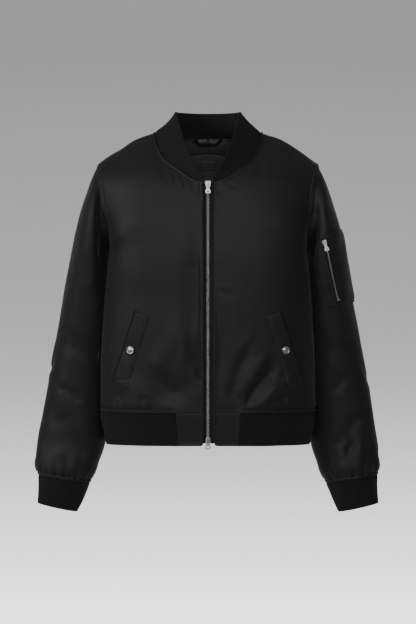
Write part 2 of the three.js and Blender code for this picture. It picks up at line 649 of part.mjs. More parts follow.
// The grid of the back, one piece over both shoulders to the forward shoulder seams.
function backGrid() {
  const us = [...PANEL_US.slice(1).reverse().map((u) => -u), ...PANEL_US];
  const vs = backVs;
  const last = vs.length - 1;
  const half = (i, j) => mirror(back(PANEL_US[Math.abs(i)], vs[j]), i < 0 ? -1 : 1);
  const edges = (s) => ({ columns, rows: last, left: s > 0 });
  const columns = PANEL_US.length - 1;
  const point = (i, j) => {
    const k = Math.abs(i - columns);
    const s = backAt.inner(vs[j]);
    if (k === 0 && s === 0) return half(0, j).add(vec(0, 0, -EDGE_INSET));
    if (k === columns && vs[j] === ARMPIT_ROW) {
      return mirror(half(k, j).add(vec(-EDGE_INSET, EDGE_INSET, 0)), i < columns ? -1 : 1);
    }
    return mirror(trimmed(half, direction, k, j, edges(s)), i < columns ? -1 : 1);
  };
  const direction = (i, j) => {
    const u = PANEL_US[i];
    const v = vs[j];
    if (j === last) return shoulderNormal(u);
    if (u === 1 && v >= ARMPIT_ROW) return armholeNormal(360 - (backAt.outer(v) * 360) / ARMHOLE_ROUND);
    if (u === 1) return vec(1, 0, 0);
    if (u === 0 && backAt.inner(v) >= 0) return neckDirection(backNeckAngle(backAt.inner(v)));
    const n = edgeNormal(back, u, v, BACK_TOP, -1);
    return u === 0 ? n.setX(0) : n;
  };
  const normal = (i, j) => mirror(direction(Math.abs(i - columns), j), i < columns ? -1 : 1);
  return { us, vs, point, normal, last };
}

// The back's grid parts at the nape into a left and a right shoulder, so its middle column is doubled
// there: this builds the wall from the two halves and shares their points below the nape.
function backGeometry() {
  const { us, vs, point, normal } = backGrid();
  const middle = (us.length - 1) / 2;
  const points = [];
  const inner = [];
  const index = new Map();
  const nape = vs.findIndex((v) => backAt.inner(v) >= 0);
  const place = (i, j, half) => {
    const doubled = i === middle && j > nape;
    const key = i + "," + j + (doubled ? half : "");
    if (!index.has(key)) {
      const p = point(i, j);
      const n = normal(i, j);
      if (doubled && half === "-") {
        p.x = -p.x;
        n.x = -n.x;
      }
      index.set(key, points.length);
      points.push(p);
      inner.push(p.clone().addScaledVector(n, -SATIN));
    }
    return index.get(key);
  };
  const faces = [];
  const edges = new Map();
  for (let j = 0; j < vs.length - 1; j++) {
    for (let i = 0; i < us.length - 1; i++) {
      const half = i < middle ? "-" : "+";
      const loop = [[i, j], [i, j + 1], [i + 1, j + 1], [i + 1, j]].map(([a, b]) => place(a, b, half));
      const turn = i < middle ? 0 : 1; // both halves are divided alike
      const corner = (k) => loop[(k + turn) % 4];
      faces.push([corner(0), corner(1), corner(2)], [corner(0), corner(2), corner(3)]);
      loop.forEach((a, k) => {
        const b = loop[(k + 1) % 4];
        if (edges.has(b + "," + a)) edges.delete(b + "," + a);
        else edges.set(a + "," + b, [a, b]);
      });
    }
  }
  const total = points.length;
  const all = faces.flatMap(([a, b, c]) => [a, b, c, total + a, total + c, total + b]);
  for (const [a, b] of edges.values()) {
    all.push(b, a, total + a, b, total + a, total + b);
  }
  return meshGeometry([...points, ...inner], all, false);
}

// One sleeve, a tube from the armhole to the cuff.
function addSleeve(name, sign) {
  const levels = stations([0, 1, 2, 3, 4, 5, 6, 7, SLEEVE_END], [5, 2, 2, 1, 2, 2, 1, 1]);
  const angle = (i) => (i * 360) / ARM_STEPS;
  const last = levels.length - 1;
  const direction = (i, j) => (j === 0 ? armholeNormal(angle(i)) : sleeveNormal(levels[j], angle(i)));
  const normal = (i, j) => mirror(direction(i, j), sign);
  const at = (i, j) => sleeveSurface(levels[j], angle(i));
  const edges = { columns: ARM_STEPS, rows: last, left: false, right: false };
  const point = (i, j) => {
    const atArmpit = i % ARM_STEPS === 0 && j === 0;
    const p = atArmpit ? at(0, 0).add(vec(EDGE_INSET, 0, -EDGE_INSET)) : trimmed(at, direction, i, j, edges);
    return mirror(p, sign);
  };
  add(name, wallGeometry({
    columns: ARM_STEPS, rows: last, point, normal, thickness: SATIN, round: true, flip: sign > 0,
  }), satin);
}

// A ribbed band: its ribs are raised in the outer points over a plain inside with fewer columns.
// surface and normal take a share of the way round and a share of the way from seam to edge.
// lift keeps the inside's first row this share of the way off the seam.
const OUTER_COLUMNS_PER_PANEL = 6;
function ribbedBand({ ribs, rows, surface, normal, thickness, round, flip, lift = 0 }) {
  const perPanel = OUTER_COLUMNS_PER_PANEL;
  const panels = Math.round((ribs * 2) / perPanel);
  const columns = panels * perPanel;
  const wide = round ? columns : columns + 1;
  const wideIn = round ? panels : panels + 1;
  const points = [];
  for (let j = 0; j <= rows; j++) {
    for (let i = 0; i < wide; i++) {
      const t = i / columns;
      const rise = i % 2 ? RIB_RISE : 0;
      points.push(surface(t, j / rows).addScaledVector(normal(t, j / rows), rise));
    }
  }
  const start = points.length;
  for (let j = 0; j <= rows; j++) {
    for (let i = 0; i < wideIn; i++) {
      const t = i / panels;
      const w = Math.max(j / rows, lift);
      points.push(surface(t, w).addScaledVector(normal(t, j / rows), -thickness));
    }
  }
  const out = (i, j) => (i % wide) + j * wide;
  const into = (i, j) => start + (i % wideIn) + j * wideIn;
  const faces = [];
  for (let j = 0; j < rows; j++) {
    for (let i = 0; i < columns; i++) {
      const [a, b, c, d] = [out(i, j), out(i + 1, j), out(i + 1, j + 1), out(i, j + 1)];
      faces.push(a, b, c, a, c, d);
    }
    for (let i = 0; i < panels; i++) {
      const [a, b, c, d] = [into(i, j), into(i + 1, j), into(i + 1, j + 1), into(i, j + 1)];
      faces.push(a, c, b, a, d, c);
    }
    if (!round) {
      const [a, b, c, d] = [out(0, j), out(0, j + 1), into(0, j + 1), into(0, j)];
      faces.push(a, b, c, a, c, d);
      const [e, f, g, h] = [out(columns, j), out(columns, j + 1), into(panels, j + 1), into(panels, j)];
      faces.push(e, g, f, e, h, g);
    }
  }
  for (let m = 0; m < panels; m++) {
    for (const [j, order] of [[0, 1], [rows, -1]]) {
      const tri = (a, b, c) => (order > 0 ? faces.push(a, b, c) : faces.push(a, c, b));
      for (let k = 0; k < perPanel; k++) {
        const near = k < perPanel / 2 ? into(m, j) : into(m + 1, j);
        tri(out(m * perPanel + k + 1, j), out(m * perPanel + k, j), near);
      }
      tri(into(m, j), into(m + 1, j), out(m * perPanel + perPanel / 2, j));
    }
  }
  return meshGeometry(points, faces, flip);
}

// A curve of points turned into a function of the share of its length.
function evenly(points) {
  const path = new THREE.CurvePath();
  points.slice(1).forEach((p, i) => path.add(new THREE.LineCurve3(points[i], p)));
  return (t) => path.getPointAt(clamp(t, 0, 1));
}

// The ribbed hem runs from one centre-front facing round the back to the other.
function hemRing(v) {
  const gapU = solve((u) => frontBase(u, 0.5).x, HEM_FACING_X + SEAM_GAP, 0, 1);
  const fine = 60;
  const quarter = (surface, from, to) => (
    Array.from({ length: fine + 1 }, (_, k) => surface(mix(from, to, k / fine), v))
  );
  const right = quarter(frontBase, gapU, 1);
  const rightBack = quarter(back, 1, 0).slice(1);
  const half = [...right, ...rightBack];
  const other = half.slice(0, -1).reverse().map((p) => vec(-p.x, p.y, p.z));
  return [...half, ...other];
}

// How many ribs fit along a line of points, a multiple of 3.
function ribsAlong(points, pitch) {
  const length = points.reduce((sum, p, i) => (i ? sum + p.distanceTo(points[i - 1]) : 0), 0);
  return Math.round(length / pitch / 3) * 3;
}

const HEM_RIB_HEIGHT = 60; // roughly, to turn a gap into a share of the table's first row
function addHem() {
  const top = HEM_SEAM_ROW - EDGE_INSET / HEM_RIB_HEIGHT - 0.003;
  const rings = [0, 1].map((w) => evenly(hemRing(mix(top, 0, w))));
  const surface = (t, w) => rings[Math.round(w)](t);
  const length = evenly(hemRing(0.5));
  const normal = (t) => {
    const d = length(Math.min(1, t + 0.002)).sub(length(Math.max(0, t - 0.002)));
    return vec(d.y, -d.x, 0).normalize();
  };
  const ribs = ribsAlong(hemRing(0.5), RIB_PITCH);
  add("hem_rib", ribbedBand({ ribs, rows: 1, surface, normal, thickness: RIB_CLOTH, flip: true }), knit);
}

function addCollar() {
  const start = -(180 - NECK_START_ANGLE);
  const span = -2 * start;
  const signed = (t) => start + span * t; // degrees from the nape, negative at the wearer's right
  const angle = (t) => Math.min(179.99, 180 - Math.abs(signed(t)));
  const sign = (t) => (signed(t) < 0 ? -1 : 1);
  const surface = (t, w) => {
    const p = collarSurface(angle(t), w);
    if (w === 0) p.addScaledVector(collarSurface(angle(t), 0.2).sub(p).normalize(), EDGE_INSET);
    return mirror(p, sign(t));
  };
  const normal = (t, w) => {
    const n = w === 0 ? neckNormal(angle(t)) : collarNormal(angle(t), Math.min(w, 1 - MARGIN));
    return mirror(n, sign(t));
  };
  const ribs = ribsAlong(Array.from({ length: 121 }, (_, k) => surface(k / 120, 0.5)), COLLAR_RIB_PITCH);
  add("collar_rib", ribbedBand({
    ribs, rows: 2, surface, normal, thickness: COLLAR_CLOTH, flip: true, lift: 0.03,
  }), knit);
}

function addCuff(name, sign) {
  const end = CUFF.length - 1;
  const startLevel = SEAM_GAP / Math.abs(CUFF[1].z - CUFF[0].z);
  const level = (w) => mix(startLevel, end, w);
  const surface = (t, w) => mirror(sectionPoint(cuffAt, level(w), t * 360), sign);
  const normal = (t, w) => {
    const l = clamp(level(w), 0.05, end - 0.05);
    const turn = (t * 360) / ANGLE_UNIT;
    const n = normalOf((a, b) => sectionPoint(cuffAt, a, b * ANGLE_UNIT), l, turn, 1, TUBE_STEP);
    return mirror(n, sign);
  };
  const ribs = ribsAlong(Array.from({ length: 91 }, (_, k) => surface(k / 90, 0.3)), RIB_PITCH);
  add(name, ribbedBand({
    ribs, rows: 2, surface, normal, thickness: RIB_CLOTH, round: true, flip: sign > 0,
  }), knit);
}

// The place (u, v) of a surface that has a given x and z.
function placeOf(surface, x, z, top) {
  let u = 0.5;
  let v = top / 2;
  for (let k = 0; k < 30; k++) {
    u = solve((a) => surface(a, v).x, x, 0, 1);
    v = solve((b) => surface(u, b).z, z, 0, top);
  }
  return [u, v];
}

// A piece laid on a surface: at gives its points on the surface and the directions out of it.
function laidPiece(name, at, columns, rows, cloth, material, { sign = 1, gap = LAID_GAP } = {}) {
  const row = (j) => Array.from({ length: columns + 1 }, (_, i) => at(i, j));
  const places = Array.from({ length: rows + 1 }, (_, j) => row(j));
  const point = (i, j) => {
    const { p, n } = places[j][i];
    return mirror(p.clone().addScaledVector(n, gap + cloth), sign);
  };
  const normal = (i, j) => mirror(places[j][i].n.clone(), sign);
  const wall = wallGeometry({ columns, rows, point, normal, thickness: cloth, flip: sign < 0 });
  return add(name, wall, material);
}

function addWelt(name, surface, sign, gap) {
  const { top, bottom } = WELT;
  const at = (i, j) => {
    const [s, t] = [i / 2, j / 8];
    const x = mix(mix(bottom.inner[0], bottom.outer[0], s), mix(top.inner[0], top.outer[0], s), t);
    const z = mix(mix(bottom.inner[1], bottom.outer[1], s), mix(top.inner[1], top.outer[1], s), t);
    const [u, v] = placeOf(surface, x, z, FRONT_TOP);
    return { p: surface(u, v), n: edgeNormal(surface, u, v, FRONT_TOP) };
  };
  laidPiece(name, at, 2, 8, WELT_CLOTH, satin, { sign, gap });
}

// Turns a shape's own axes, across, up and out, into directions in the jacket.
function place(geometry, origin, across, up, out) {
  return geometry.applyMatrix4(new THREE.Matrix4().makeBasis(across, up, out).setPosition(origin));
}

function addSnap(name, surface, sign, gap) {
  const [u, v] = placeOf(surface, SNAP.x, SNAP.z, FRONT_TOP);
  const out = edgeNormal(surface, u, v, FRONT_TOP);
  const seat = surface(u, v).addScaledVector(out, gap + WELT_CLOTH + 2 * SEAM_GAP);
  const cap = new THREE.LatheGeometry(SNAP.profile.map(([r, h]) => new THREE.Vector2(r, h)), 14);
  const welded = mergeVertices(cap.deleteAttribute("normal").deleteAttribute("uv"), 1e-4);
  const up = vec(0, 0, 1).addScaledVector(out, -out.z).normalize();
  const side = out.clone().cross(up);
  welded.applyMatrix4(new THREE.Matrix4().makeBasis(side, out, side.clone().cross(out)).setPosition(seat));
  add(name, mirrored(withoutFlatFaces(welded), sign), steel);
}

// The same body at the wearer's right.
function mirrored(geometry, sign) {
  if (sign > 0) return geometry;
  const position = geometry.getAttribute("position");
  for (let i = 0; i < position.count; i++) position.setX(i, -position.getX(i));
  const index = geometry.getIndex();
  for (let i = 0; i < index.count; i += 3) {
    const b = index.getX(i + 1);
    index.setX(i + 1, index.getX(i + 2));
    index.setX(i + 2, b);
  }
  geometry.computeVertexNormals();
  return geometry;
}

// A turned profile that starts on its axis has faces without area there: they go.
function withoutFlatFaces(geometry) {
  const kept = [];
  const index = geometry.getIndex();
  for (let i = 0; i < index.count; i += 3) {
    const face = [index.getX(i), index.getX(i + 1), index.getX(i + 2)];
    if (new Set(face).size === 3) kept.push(...face);
  }
  geometry.setIndex(kept);
  geometry.computeVertexNormals();
  return geometry;
}

// A shape drawn across and up, from one distance out of the cloth to another.
function slab(points, from, to, holes = []) {
  const corners = () => points.map(([x, y]) => new THREE.Vector2(x, y));
  const shape = Array.isArray(points) ? new THREE.Shape(corners()) : points;
  shape.holes.push(...holes);
  const settings = { depth: to - from, bevelEnabled: false, curveSegments: 5 };
  return new THREE.ExtrudeGeometry(shape, settings).translate(0, 0, from);
}

function toSolid(geometry) {
  const bare = mergeVertices(geometry.clone().deleteAttribute("normal").deleteAttribute("uv"), 1e-4);
  return new wasm.Manifold(new wasm.Mesh({
    numProp: 3,
    vertProperties: new Float32Array(bare.getAttribute("position").array),
    triVerts: new Uint32Array(bare.getIndex().array),
  }));
}

function fromSolid(solid) {
  const mesh = solid.getMesh();
  const geometry = new THREE.BufferGeometry();
  geometry.setAttribute("position", new THREE.BufferAttribute(mesh.vertProperties, 3));
  geometry.setIndex(new THREE.BufferAttribute(mesh.triVerts, 1));
  geometry.computeVertexNormals();
  return geometry;
}

const union = (geometries) => fromSolid(geometries.map(toSolid).reduce((a, b) => a.add(b)));

// The plate of a slider: wide at its top end, with cut corners.
function plateOutline() {
  const { height, wideEnd, narrowEnd, corner } = SLIDER;
  return [
    [-narrowEnd / 2 + corner, 0], [narrowEnd / 2 - corner, 0], [narrowEnd / 2, corner],
    [wideEnd / 2, height - corner], [wideEnd / 2 - corner, height], [-wideEnd / 2 + corner, height],
    [-wideEnd / 2, height - corner], [-narrowEnd / 2, corner],
  ];
}

// The bail: an arch on the slider's plate that holds the pull tab.
function bailGeometry() {
  const [a, b] = BAIL.ends;
  const { foot, chamfer, opening, top, half } = BAIL;
  const base = (SLIDER.plateBack + SLIDER.plateFront) / 2;
  const outline = [
    [a, base], [a + foot, base], [a + foot, opening], [b - foot, opening], [b - foot, base], [b, base],
    [b, top - chamfer], [b - chamfer, top], [a + chamfer, top], [a, top - chamfer],
  ];
  const side = slab(outline, -half, half);
  return side.applyMatrix4(new THREE.Matrix4().makeBasis(vec(0, 1, 0), vec(0, 0, 1), vec(1, 0, 0)));
}

function sliderGeometry(hasRear) {
  const { plateBack, plateFront, rearBack, rearFront, wedge, wedgeHalf } = SLIDER;
  const parts = [slab(plateOutline(), plateBack, plateFront), bailGeometry()];
  if (hasRear) {
    const [low, high] = wedge;
    const block = [[-wedgeHalf, low], [wedgeHalf, low], [wedgeHalf, high], [-wedgeHalf, high]];
    parts.push(slab(plateOutline(), rearBack, rearFront));
    parts.push(slab(block, (rearBack + rearFront) / 2, (plateBack + plateFront) / 2));
  }
  return union(parts);
}

// A pull tab that hangs from its bar, with a window for the bail and a hole at its end.
function tabGeometry({ length, thickness, width, waist, end, bar, window, windowHalf, hole }) {
  const half = width / 2;
  const shape = new THREE.Shape();
  shape.moveTo(-half, bar);
  shape.lineTo(-half, -window - bar);
  shape.lineTo(-waist / 2, -window - 4 * bar);
  shape.lineTo(-end / 2, -length + end / 2);
  shape.absarc(0, -length + end / 2, end / 2, Math.PI, 2 * Math.PI, false);
  shape.lineTo(waist / 2, -window - 4 * bar);
  shape.lineTo(half, -window - bar);
  shape.lineTo(half, bar);
  const opening = new THREE.Path();
  opening.moveTo(-windowHalf, -bar);
  opening.lineTo(windowHalf, -bar);
  opening.lineTo(windowHalf, -window);
  opening.lineTo(-windowHalf, -window);
  const eye = new THREE.Path();
  eye.absarc(0, -length + end / 2, hole, 0, 2 * Math.PI, true);
  return slab(shape, -thickness / 2, thickness / 2, [opening, eye]);
}

const merged = (geometry) => {
  const bare = mergeVertices(geometry.deleteAttribute("normal").deleteAttribute("uv"), 1e-4);
  bare.computeVertexNormals();
  return bare;
};

// A slider and its pull tab. down says where the tab hangs to, and flipped that the slider is upside down.
function addSlider(name, tabName, settings) {
  const { origin, up, out, down, tab, scale = 1, flipped = false, hasRear = true } = settings;
  const turned = flipped ? -1 : 1;
  const across = up.clone().cross(out);
  const body = sliderGeometry(hasRear).scale(scale, scale, scale);
  const ownAcross = across.clone().multiplyScalar(turned);
  const ownUp = up.clone().multiplyScalar(turned);
  add(name, place(body, origin, ownAcross, ownUp, out), steel);
  const [a, b] = BAIL.ends;
  const height = flipped ? a + BAIL.foot + HINGE.fromFoot : b - BAIL.foot - HINGE.fromFoot;
  const axis = origin.clone()
    .addScaledVector(up, turned * height * scale)
    .addScaledVector(out, HINGE.out * scale);
  const hang = down.clone().negate();
  const face = across.clone().cross(hang).normalize();
  const pull = merged(tabGeometry(tab)).scale(scale, scale, scale);
  add(tabName, place(pull, axis, across, hang, face), steel);
}

// The front zip's frame at a height: up the cloth's face and out of it.
function zipFrame(z) {
  const up = vec(0, -centreFront(z + 5) + centreFront(z - 5), 10).normalize();
  return { origin: vec(0, -centreFront(z), z), up, out: vec(1, 0, 0).cross(up) };
}

// A strip that follows the centre front between two heights, in the plane of the zip.
function addZipStrip(name, { x0, x1, front, rear, top, bottom, sign = 1 }, material) {
  const rows = 18;
  const point = (i, j) => {
    const { origin, out } = zipFrame(mix(bottom, top, j / rows));
    return mirror(origin.addScaledVector(out, -front).setX(i ? x1 : x0), sign);
  };
  const normal = (i, j) => mirror(zipFrame(mix(bottom, top, j / rows)).out, sign);
  const thickness = rear - front;
  add(name, wallGeometry({ columns: 1, rows, point, normal, thickness, flip: sign < 0 }), material);
}

function addFrontZip() {
  const { chainHalf, chainFront, chainBack, tapeFront, tapeBack, tapeReach } = ZIP;
  const tape = {
    x0: chainHalf + SEAM_GAP, x1: tapeReach, front: tapeFront, rear: tapeBack, ...ZIP_TAPE,
  };
  addZipStrip("zip_tape_left", tape, tapeCloth);
  addZipStrip("zip_tape_right", { ...tape, sign: -1 }, tapeCloth);
  const chain = { x0: -chainHalf, x1: chainHalf, front: chainFront, rear: chainBack, ...ZIP_CHAIN };
  addZipStrip("zip_chain", chain, steel);
  const upper = zipFrame(UPPER_SLIDER_Z);
  addSlider("zip_slider_top", "zip_pull_top", {
    ...upper, down: upper.up.clone().negate(), tab: TAB,
  });
  addSlider("zip_slider_bottom", "zip_pull_bottom", {
    ...zipFrame(LOWER_SLIDER_Z), down: vec(0, 0, -1), tab: LOWER_TAB, flipped: true,
  });
}

// The sleeve pocket: across counts from its front edge to its back edge, along from its bottom to its top.
function armPlace(angleFrom, angleTo, along, share) {
  const level = mix(ARM_POCKET.bottom, ARM_POCKET.top, along);
  const from = mix(angleFrom[1], angleFrom[0], along);
  const to = mix(angleTo[1], angleTo[0], along);
  return [level, mix(from, to, share)];
}

// A point of the sleeve, moved round it by a distance in millimetres.
function armPoint(level, angle, shift = 0) {
  const p = sleeveSurface(level, angle);
  const n = sleeveNormal(level, angle);
  if (!shift) return { p, n };
  const ahead = sleeveSurface(level, angle + 1).sub(p);
  const turned = angle + shift / ahead.length();
  return { p: sleeveSurface(level, turned), n: sleeveNormal(level, turned) };
}

function addArmPocket() {
  const { front, zip, back: rear, slot, cloth } = ARM_POCKET;
  const rows = 8;
  const frontPart = (i, j) => {
    const edge = armPlace(front, zip, j / rows, 0);
    const seam = armPlace(front, zip, j / rows, 1);
    if (i === 3) return armPoint(seam[0], seam[1], -slot);
    return armPoint(edge[0], mix(edge[1], seam[1], i / 3));
  };
  const backPart = (i, j) => {
    const seam = armPlace(zip, rear, j / rows, 0);
    const edge = armPlace(zip, rear, j / rows, 1);
    if (i === 0) return armPoint(seam[0], seam[1], slot);
    return armPoint(edge[0], mix(seam[1], edge[1], i / 6));
  };
  laidPiece("sleeve_pocket_front", frontPart, 3, rows, cloth, satin);
  laidPiece("sleeve_pocket_back", backPart, 6, rows, cloth, satin);
  const strip = (half, from, to) => (i, j) => {
    const [level, angle] = armPlace(zip, zip, mix(from, to, j / rows), 0);
    return armPoint(level, angle, i ? half : -half);
  };
  const { tapeHalf, tape, chainHalf, chain, start, end } = ARM_ZIP;
  laidPiece("sleeve_zip_tape", strip(tapeHalf, 0, 1), 1, rows, tape, tapeCloth);
  const gap = LAID_GAP + tape + 1.5 * SEAM_GAP;
  laidPiece("sleeve_zip_chain", strip(chainHalf, start, end), 1, rows, chain, steel, { gap });
  const stop = (i, j) => strip(chainHalf + 1, ...ARM_ZIP.stop)(i, j * rows);
  laidPiece("sleeve_zip_stop", stop, 1, 1, chain, steel, { gap });
  const placeAt = (along) => {
    const { p, n } = armPoint(...armPlace(zip, zip, along, 0));
    return { seat: p.addScaledVector(n, gap + chain + SEAM_GAP), n };
  };
  const { seat: origin, n } = placeAt(ARM_ZIP.slider);
  const up = placeAt(ARM_ZIP.slider + 0.1).seat.sub(placeAt(ARM_ZIP.slider - 0.02).seat).normalize();
  const out = n.addScaledVector(up, -n.dot(up)).normalize();
  const axis = up.clone().cross(out);
  const down = vec(0, 0, -1).addScaledVector(axis, axis.z).normalize();
  addSlider("sleeve_zip_slider", "sleeve_zip_pull", {
    origin, up, out, down, tab: TAB, scale: ARM_SLIDER_SCALE, hasRear: false,
  });
}

// What is sewn inside the back, on the wall's inner side.
function insidePiece(name, placeAt, columns, rows, cloth, depth, sign = 1) {
  const at = (i, j) => {
    const [u, v] = placeAt(i, j);
    const n = edgeNormal(back, Math.abs(u), v, BACK_TOP, -1);
    if (Math.abs(u) < 1e-3) n.setX(0).normalize();
    return { p: mirror(back(Math.abs(u), v), Math.sign(u) || 1), n: mirror(n, Math.sign(u) || 1) };
  };
  const point = (i, j) => {
    const { p, n } = at(i, j);
    return mirror(p.addScaledVector(n, -depth), sign);
  };
  const normal = (i, j) => mirror(at(i, j).n, sign);
  const wall = wallGeometry({ columns, rows, point, normal, thickness: cloth, flip: sign > 0 });
  return add(name, wall, liningCloth);
}

// The row of the back at a height.
const backRowAt = (u, z) => solve((v) => back(Math.abs(u), v).z, z, 0, BACK_TOP);

function addInside() {
  const depth = SATIN + INNER_GAP;
  const start = SEAM_GAP / 200; // half the facing's centre seam, as a share of a row
  const facing = (i, j) => {
    const u = mix(start, FACING.reach, i / 4);
    return [u, mix(backRowAt(u, FACING.bottomZ), FACING.topRow - 0.15, j / 5)];
  };
  insidePiece("back_facing_left", facing, 4, 5, LINING, depth);
  insidePiece("back_facing_right", facing, 4, 5, LINING, depth, -1);
  const lining = (i, j) => {
    const u = mix(-LINING_PART.reach, LINING_PART.reach, i / 10);
    return [u, backRowAt(u, mix(LINING_PART.bottomZ, FACING.bottomZ - 2 * SEAM_GAP, j / 5))];
  };
  insidePiece("back_lining", lining, 10, 5, LINING, depth);
  const within = depth + LINING;
  const label = (i, j) => {
    const x = mix(-LABEL.half, LABEL.half, i / 4);
    const [u, v] = placeOf(back, Math.abs(x), mix(LABEL.bottom, LABEL.top, j), BACK_TOP);
    return [i < 2 ? -u : u, v];
  };
  insidePiece("label", label, 4, 1, LABEL.cloth, within + 3 * SEAM_GAP);
  const path = LOOP.path;
  const loop = (i, j) => {
    const [before, after] = [path[Math.max(i - 1, 0)], path[Math.min(i + 1, path.length - 1)]];
    const run = Math.hypot(after[0] - before[0], after[1] - before[1]);
    const across = [-(after[1] - before[1]) / run, (after[0] - before[0]) / run];
    const x = path[i][0] + across[0] * LOOP.width * (j - 0.5);
    const z = path[i][1] + across[1] * LOOP.width * (j - 0.5);
    const [u, v] = placeOf(back, Math.abs(x), z, BACK_TOP);
    return [x < 0 ? -u : u, v];
  };
  insidePiece("locker_loop", loop, path.length - 1, 1, LOOP.cloth, within + LOOP.stand);
}

addFront("front_left", fronts.left, 1);
addFront("front_right", fronts.right, -1);
add("back", backGeometry(), satin);
addSleeve("sleeve_left", 1);
addSleeve("sleeve_right", -1);
addHem();
addCollar();
addCuff("cuff_left", 1);
addCuff("cuff_right", -1);
addWelt("pocket_welt_left", fronts.left, 1, WELT_GAP.left);
addWelt("pocket_welt_right", fronts.right, -1, WELT_GAP.right);
addSnap("snap_left", fronts.left, 1, WELT_GAP.left);
addSnap("snap_right", fronts.right, -1, WELT_GAP.right);
addFrontZip();
addArmPocket();
addInside();

export default jacket;
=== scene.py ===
import json
from functools import lru_cache

import bmesh
import bpy
import numpy as np
from bpy.props import FloatProperty, FloatVectorProperty, IntProperty, PointerProperty
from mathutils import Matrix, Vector


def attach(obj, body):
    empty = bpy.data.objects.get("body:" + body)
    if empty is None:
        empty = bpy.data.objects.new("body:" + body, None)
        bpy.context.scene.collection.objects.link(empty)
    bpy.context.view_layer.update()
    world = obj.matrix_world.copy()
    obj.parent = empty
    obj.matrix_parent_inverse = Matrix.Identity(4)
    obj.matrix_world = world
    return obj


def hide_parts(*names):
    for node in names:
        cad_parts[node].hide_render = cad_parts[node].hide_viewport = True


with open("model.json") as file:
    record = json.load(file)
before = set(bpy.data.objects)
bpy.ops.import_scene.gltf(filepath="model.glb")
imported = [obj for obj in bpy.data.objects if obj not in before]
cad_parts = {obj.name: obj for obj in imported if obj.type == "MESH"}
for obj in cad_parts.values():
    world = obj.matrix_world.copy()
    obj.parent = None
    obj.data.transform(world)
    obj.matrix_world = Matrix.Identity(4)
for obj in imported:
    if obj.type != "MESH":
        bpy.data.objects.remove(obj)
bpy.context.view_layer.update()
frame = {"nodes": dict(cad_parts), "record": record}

bl_info = {
    "name": "Bomber jacket",
    "version": (1, 0, 0),
    "blender": (4, 5, 0),
    "location": "View3D > Sidebar > Jacket",
    "description": "Builds a zipped bomber jacket in satin and ribbed knit, and a studio for it",
    "category": "Object",
}

# Lengths below are millimetres, +Z up, the front faces -Y and the wearer's left arm is at +X.
MM = 0.001
JACKET = "jacket"
PHOTO_SIZE = (416, 624)
MM_PER_PIXEL = 2.05  # at the plane y = 0
CAMERA_DISTANCE = 4000.0
CAMERA_HEIGHT = -354.65
CAMERA_LENS = 112.57

CENTRE_EDGE_X = 12.0
HEM_FACING_X = 64.0
ARMPIT_Z = -222.0
HEM_Z = -624.0
ARMPIT_ROW = 6
NECK = dict(half_width=108, half_depth=87.5, centre_y=-7.5, side_z=13, drop=107, back=-4, power=1.1)
COLLAR = dict(half_width=65.5, half_depth=68.5, centre_y=-28.5, side_z=53, drop=138, back=3, power=2.1)
COLLAR_CROWN = -4.0
SEAM_DEPTH = 0.45  # how little the cloth's edge is rounded where it is sewn to the next piece
NECK_POINT = 7.0  # how far the neckline is drawn up on both sides of the zip, towards a V
SHOULDER_RISE = 7.0  # how far the shoulders stand up beside the neck
SHOULDER_SEAM_ANGLE = 80.0
NECK_START_ANGLE = float(np.degrees(np.arcsin(CENTRE_EDGE_X / NECK["half_width"])))
FRONT_NECK_ARC = 158.0
BACK_NECK_ARC = 176.0
ARMHOLE_ROUND = 472.0
ARM_STEP = ARMHOLE_ROUND / 33

# Height, half width and boxiness of the body's section
SIDE = np.array([
    (-627, 207, 0.15), (-557, 219, 0.15), (-484, 219.5, 0.15), (-365, 215, 0.18), (-248, 204, 0.36),
    (-203, 199, 0.38), (-165, 198, 0.2), (-130, 197, 0.05), (-100, 197, 0),
])
CENTRE_FRONT = np.array([
    (-627, 100), (-557, 109), (-484, 114), (-365, 117), (-248, 117), (-203, 114), (-150, 107), (-93, 94.5),
])
CENTRE_BACK = np.array([
    (-627, 96), (-557, 105), (-484, 109), (-365, 106), (-248, 107), (-150, 107), (-80, 99), (-22, 87),
    (9, 80),
])
# Rows of a panel: place along its inner edge and its outer edge, turn round the body in degrees,
# how late it drops, how far it stands out and how far it stands up
FRONT_ROWS = np.array([
    (-530, -402, 90, 1, 0, 0), (-464, -335, 90, 1, 0, 0), (-407, -277, 90, 1, 0, 0),
    (-320, -190, 90, 1, 0, 0), (-235, -105, 90, 1, 0, 0), (-165, -38, 90, 1, 0, 0),
    (-122, 0, 88, 1, 0, 0), (-62, 60, 80, 1.6, 5, 0), (0, 8 * ARM_STEP, 64, 1.8, 6, 0),
    (52, 140, 50, 1.5, 6, 2), (104, 163, 38, 1.2, 4, 5), (158, 13 * ARM_STEP, 30, 1, 1, 8),
])
BACK_ROWS = np.array([
    (-633, -402, 90, 1, 0, 0), (-566, -335, 90, 1, 0, 0), (-509, -277, 90, 1, 0, 0),
    (-422, -190, 90, 1, 0, 0), (-338, -105, 90, 1, 0, 0), (-268, -38, 90, 1, 0, 0),
    (-229, 0, 88, 1, 0, 0), (-160, 66, 80, 1.6, 6, 0), (-92, 120, 64, 1.8, 7, 0),
    (-31, 160, 51, 1.6, 6, 2), (0, 13 * ARM_STEP, 42, 1.4, 4, 4), (46, 206, 34, 1.2, 3, 6),
    (92, 228, 30, 1, 1, 8), (134, 254, 30, 1, 0, 9), (176, 20 * ARM_STEP, 30, 1, -1, 8),
])
NAPE_ROW = 10
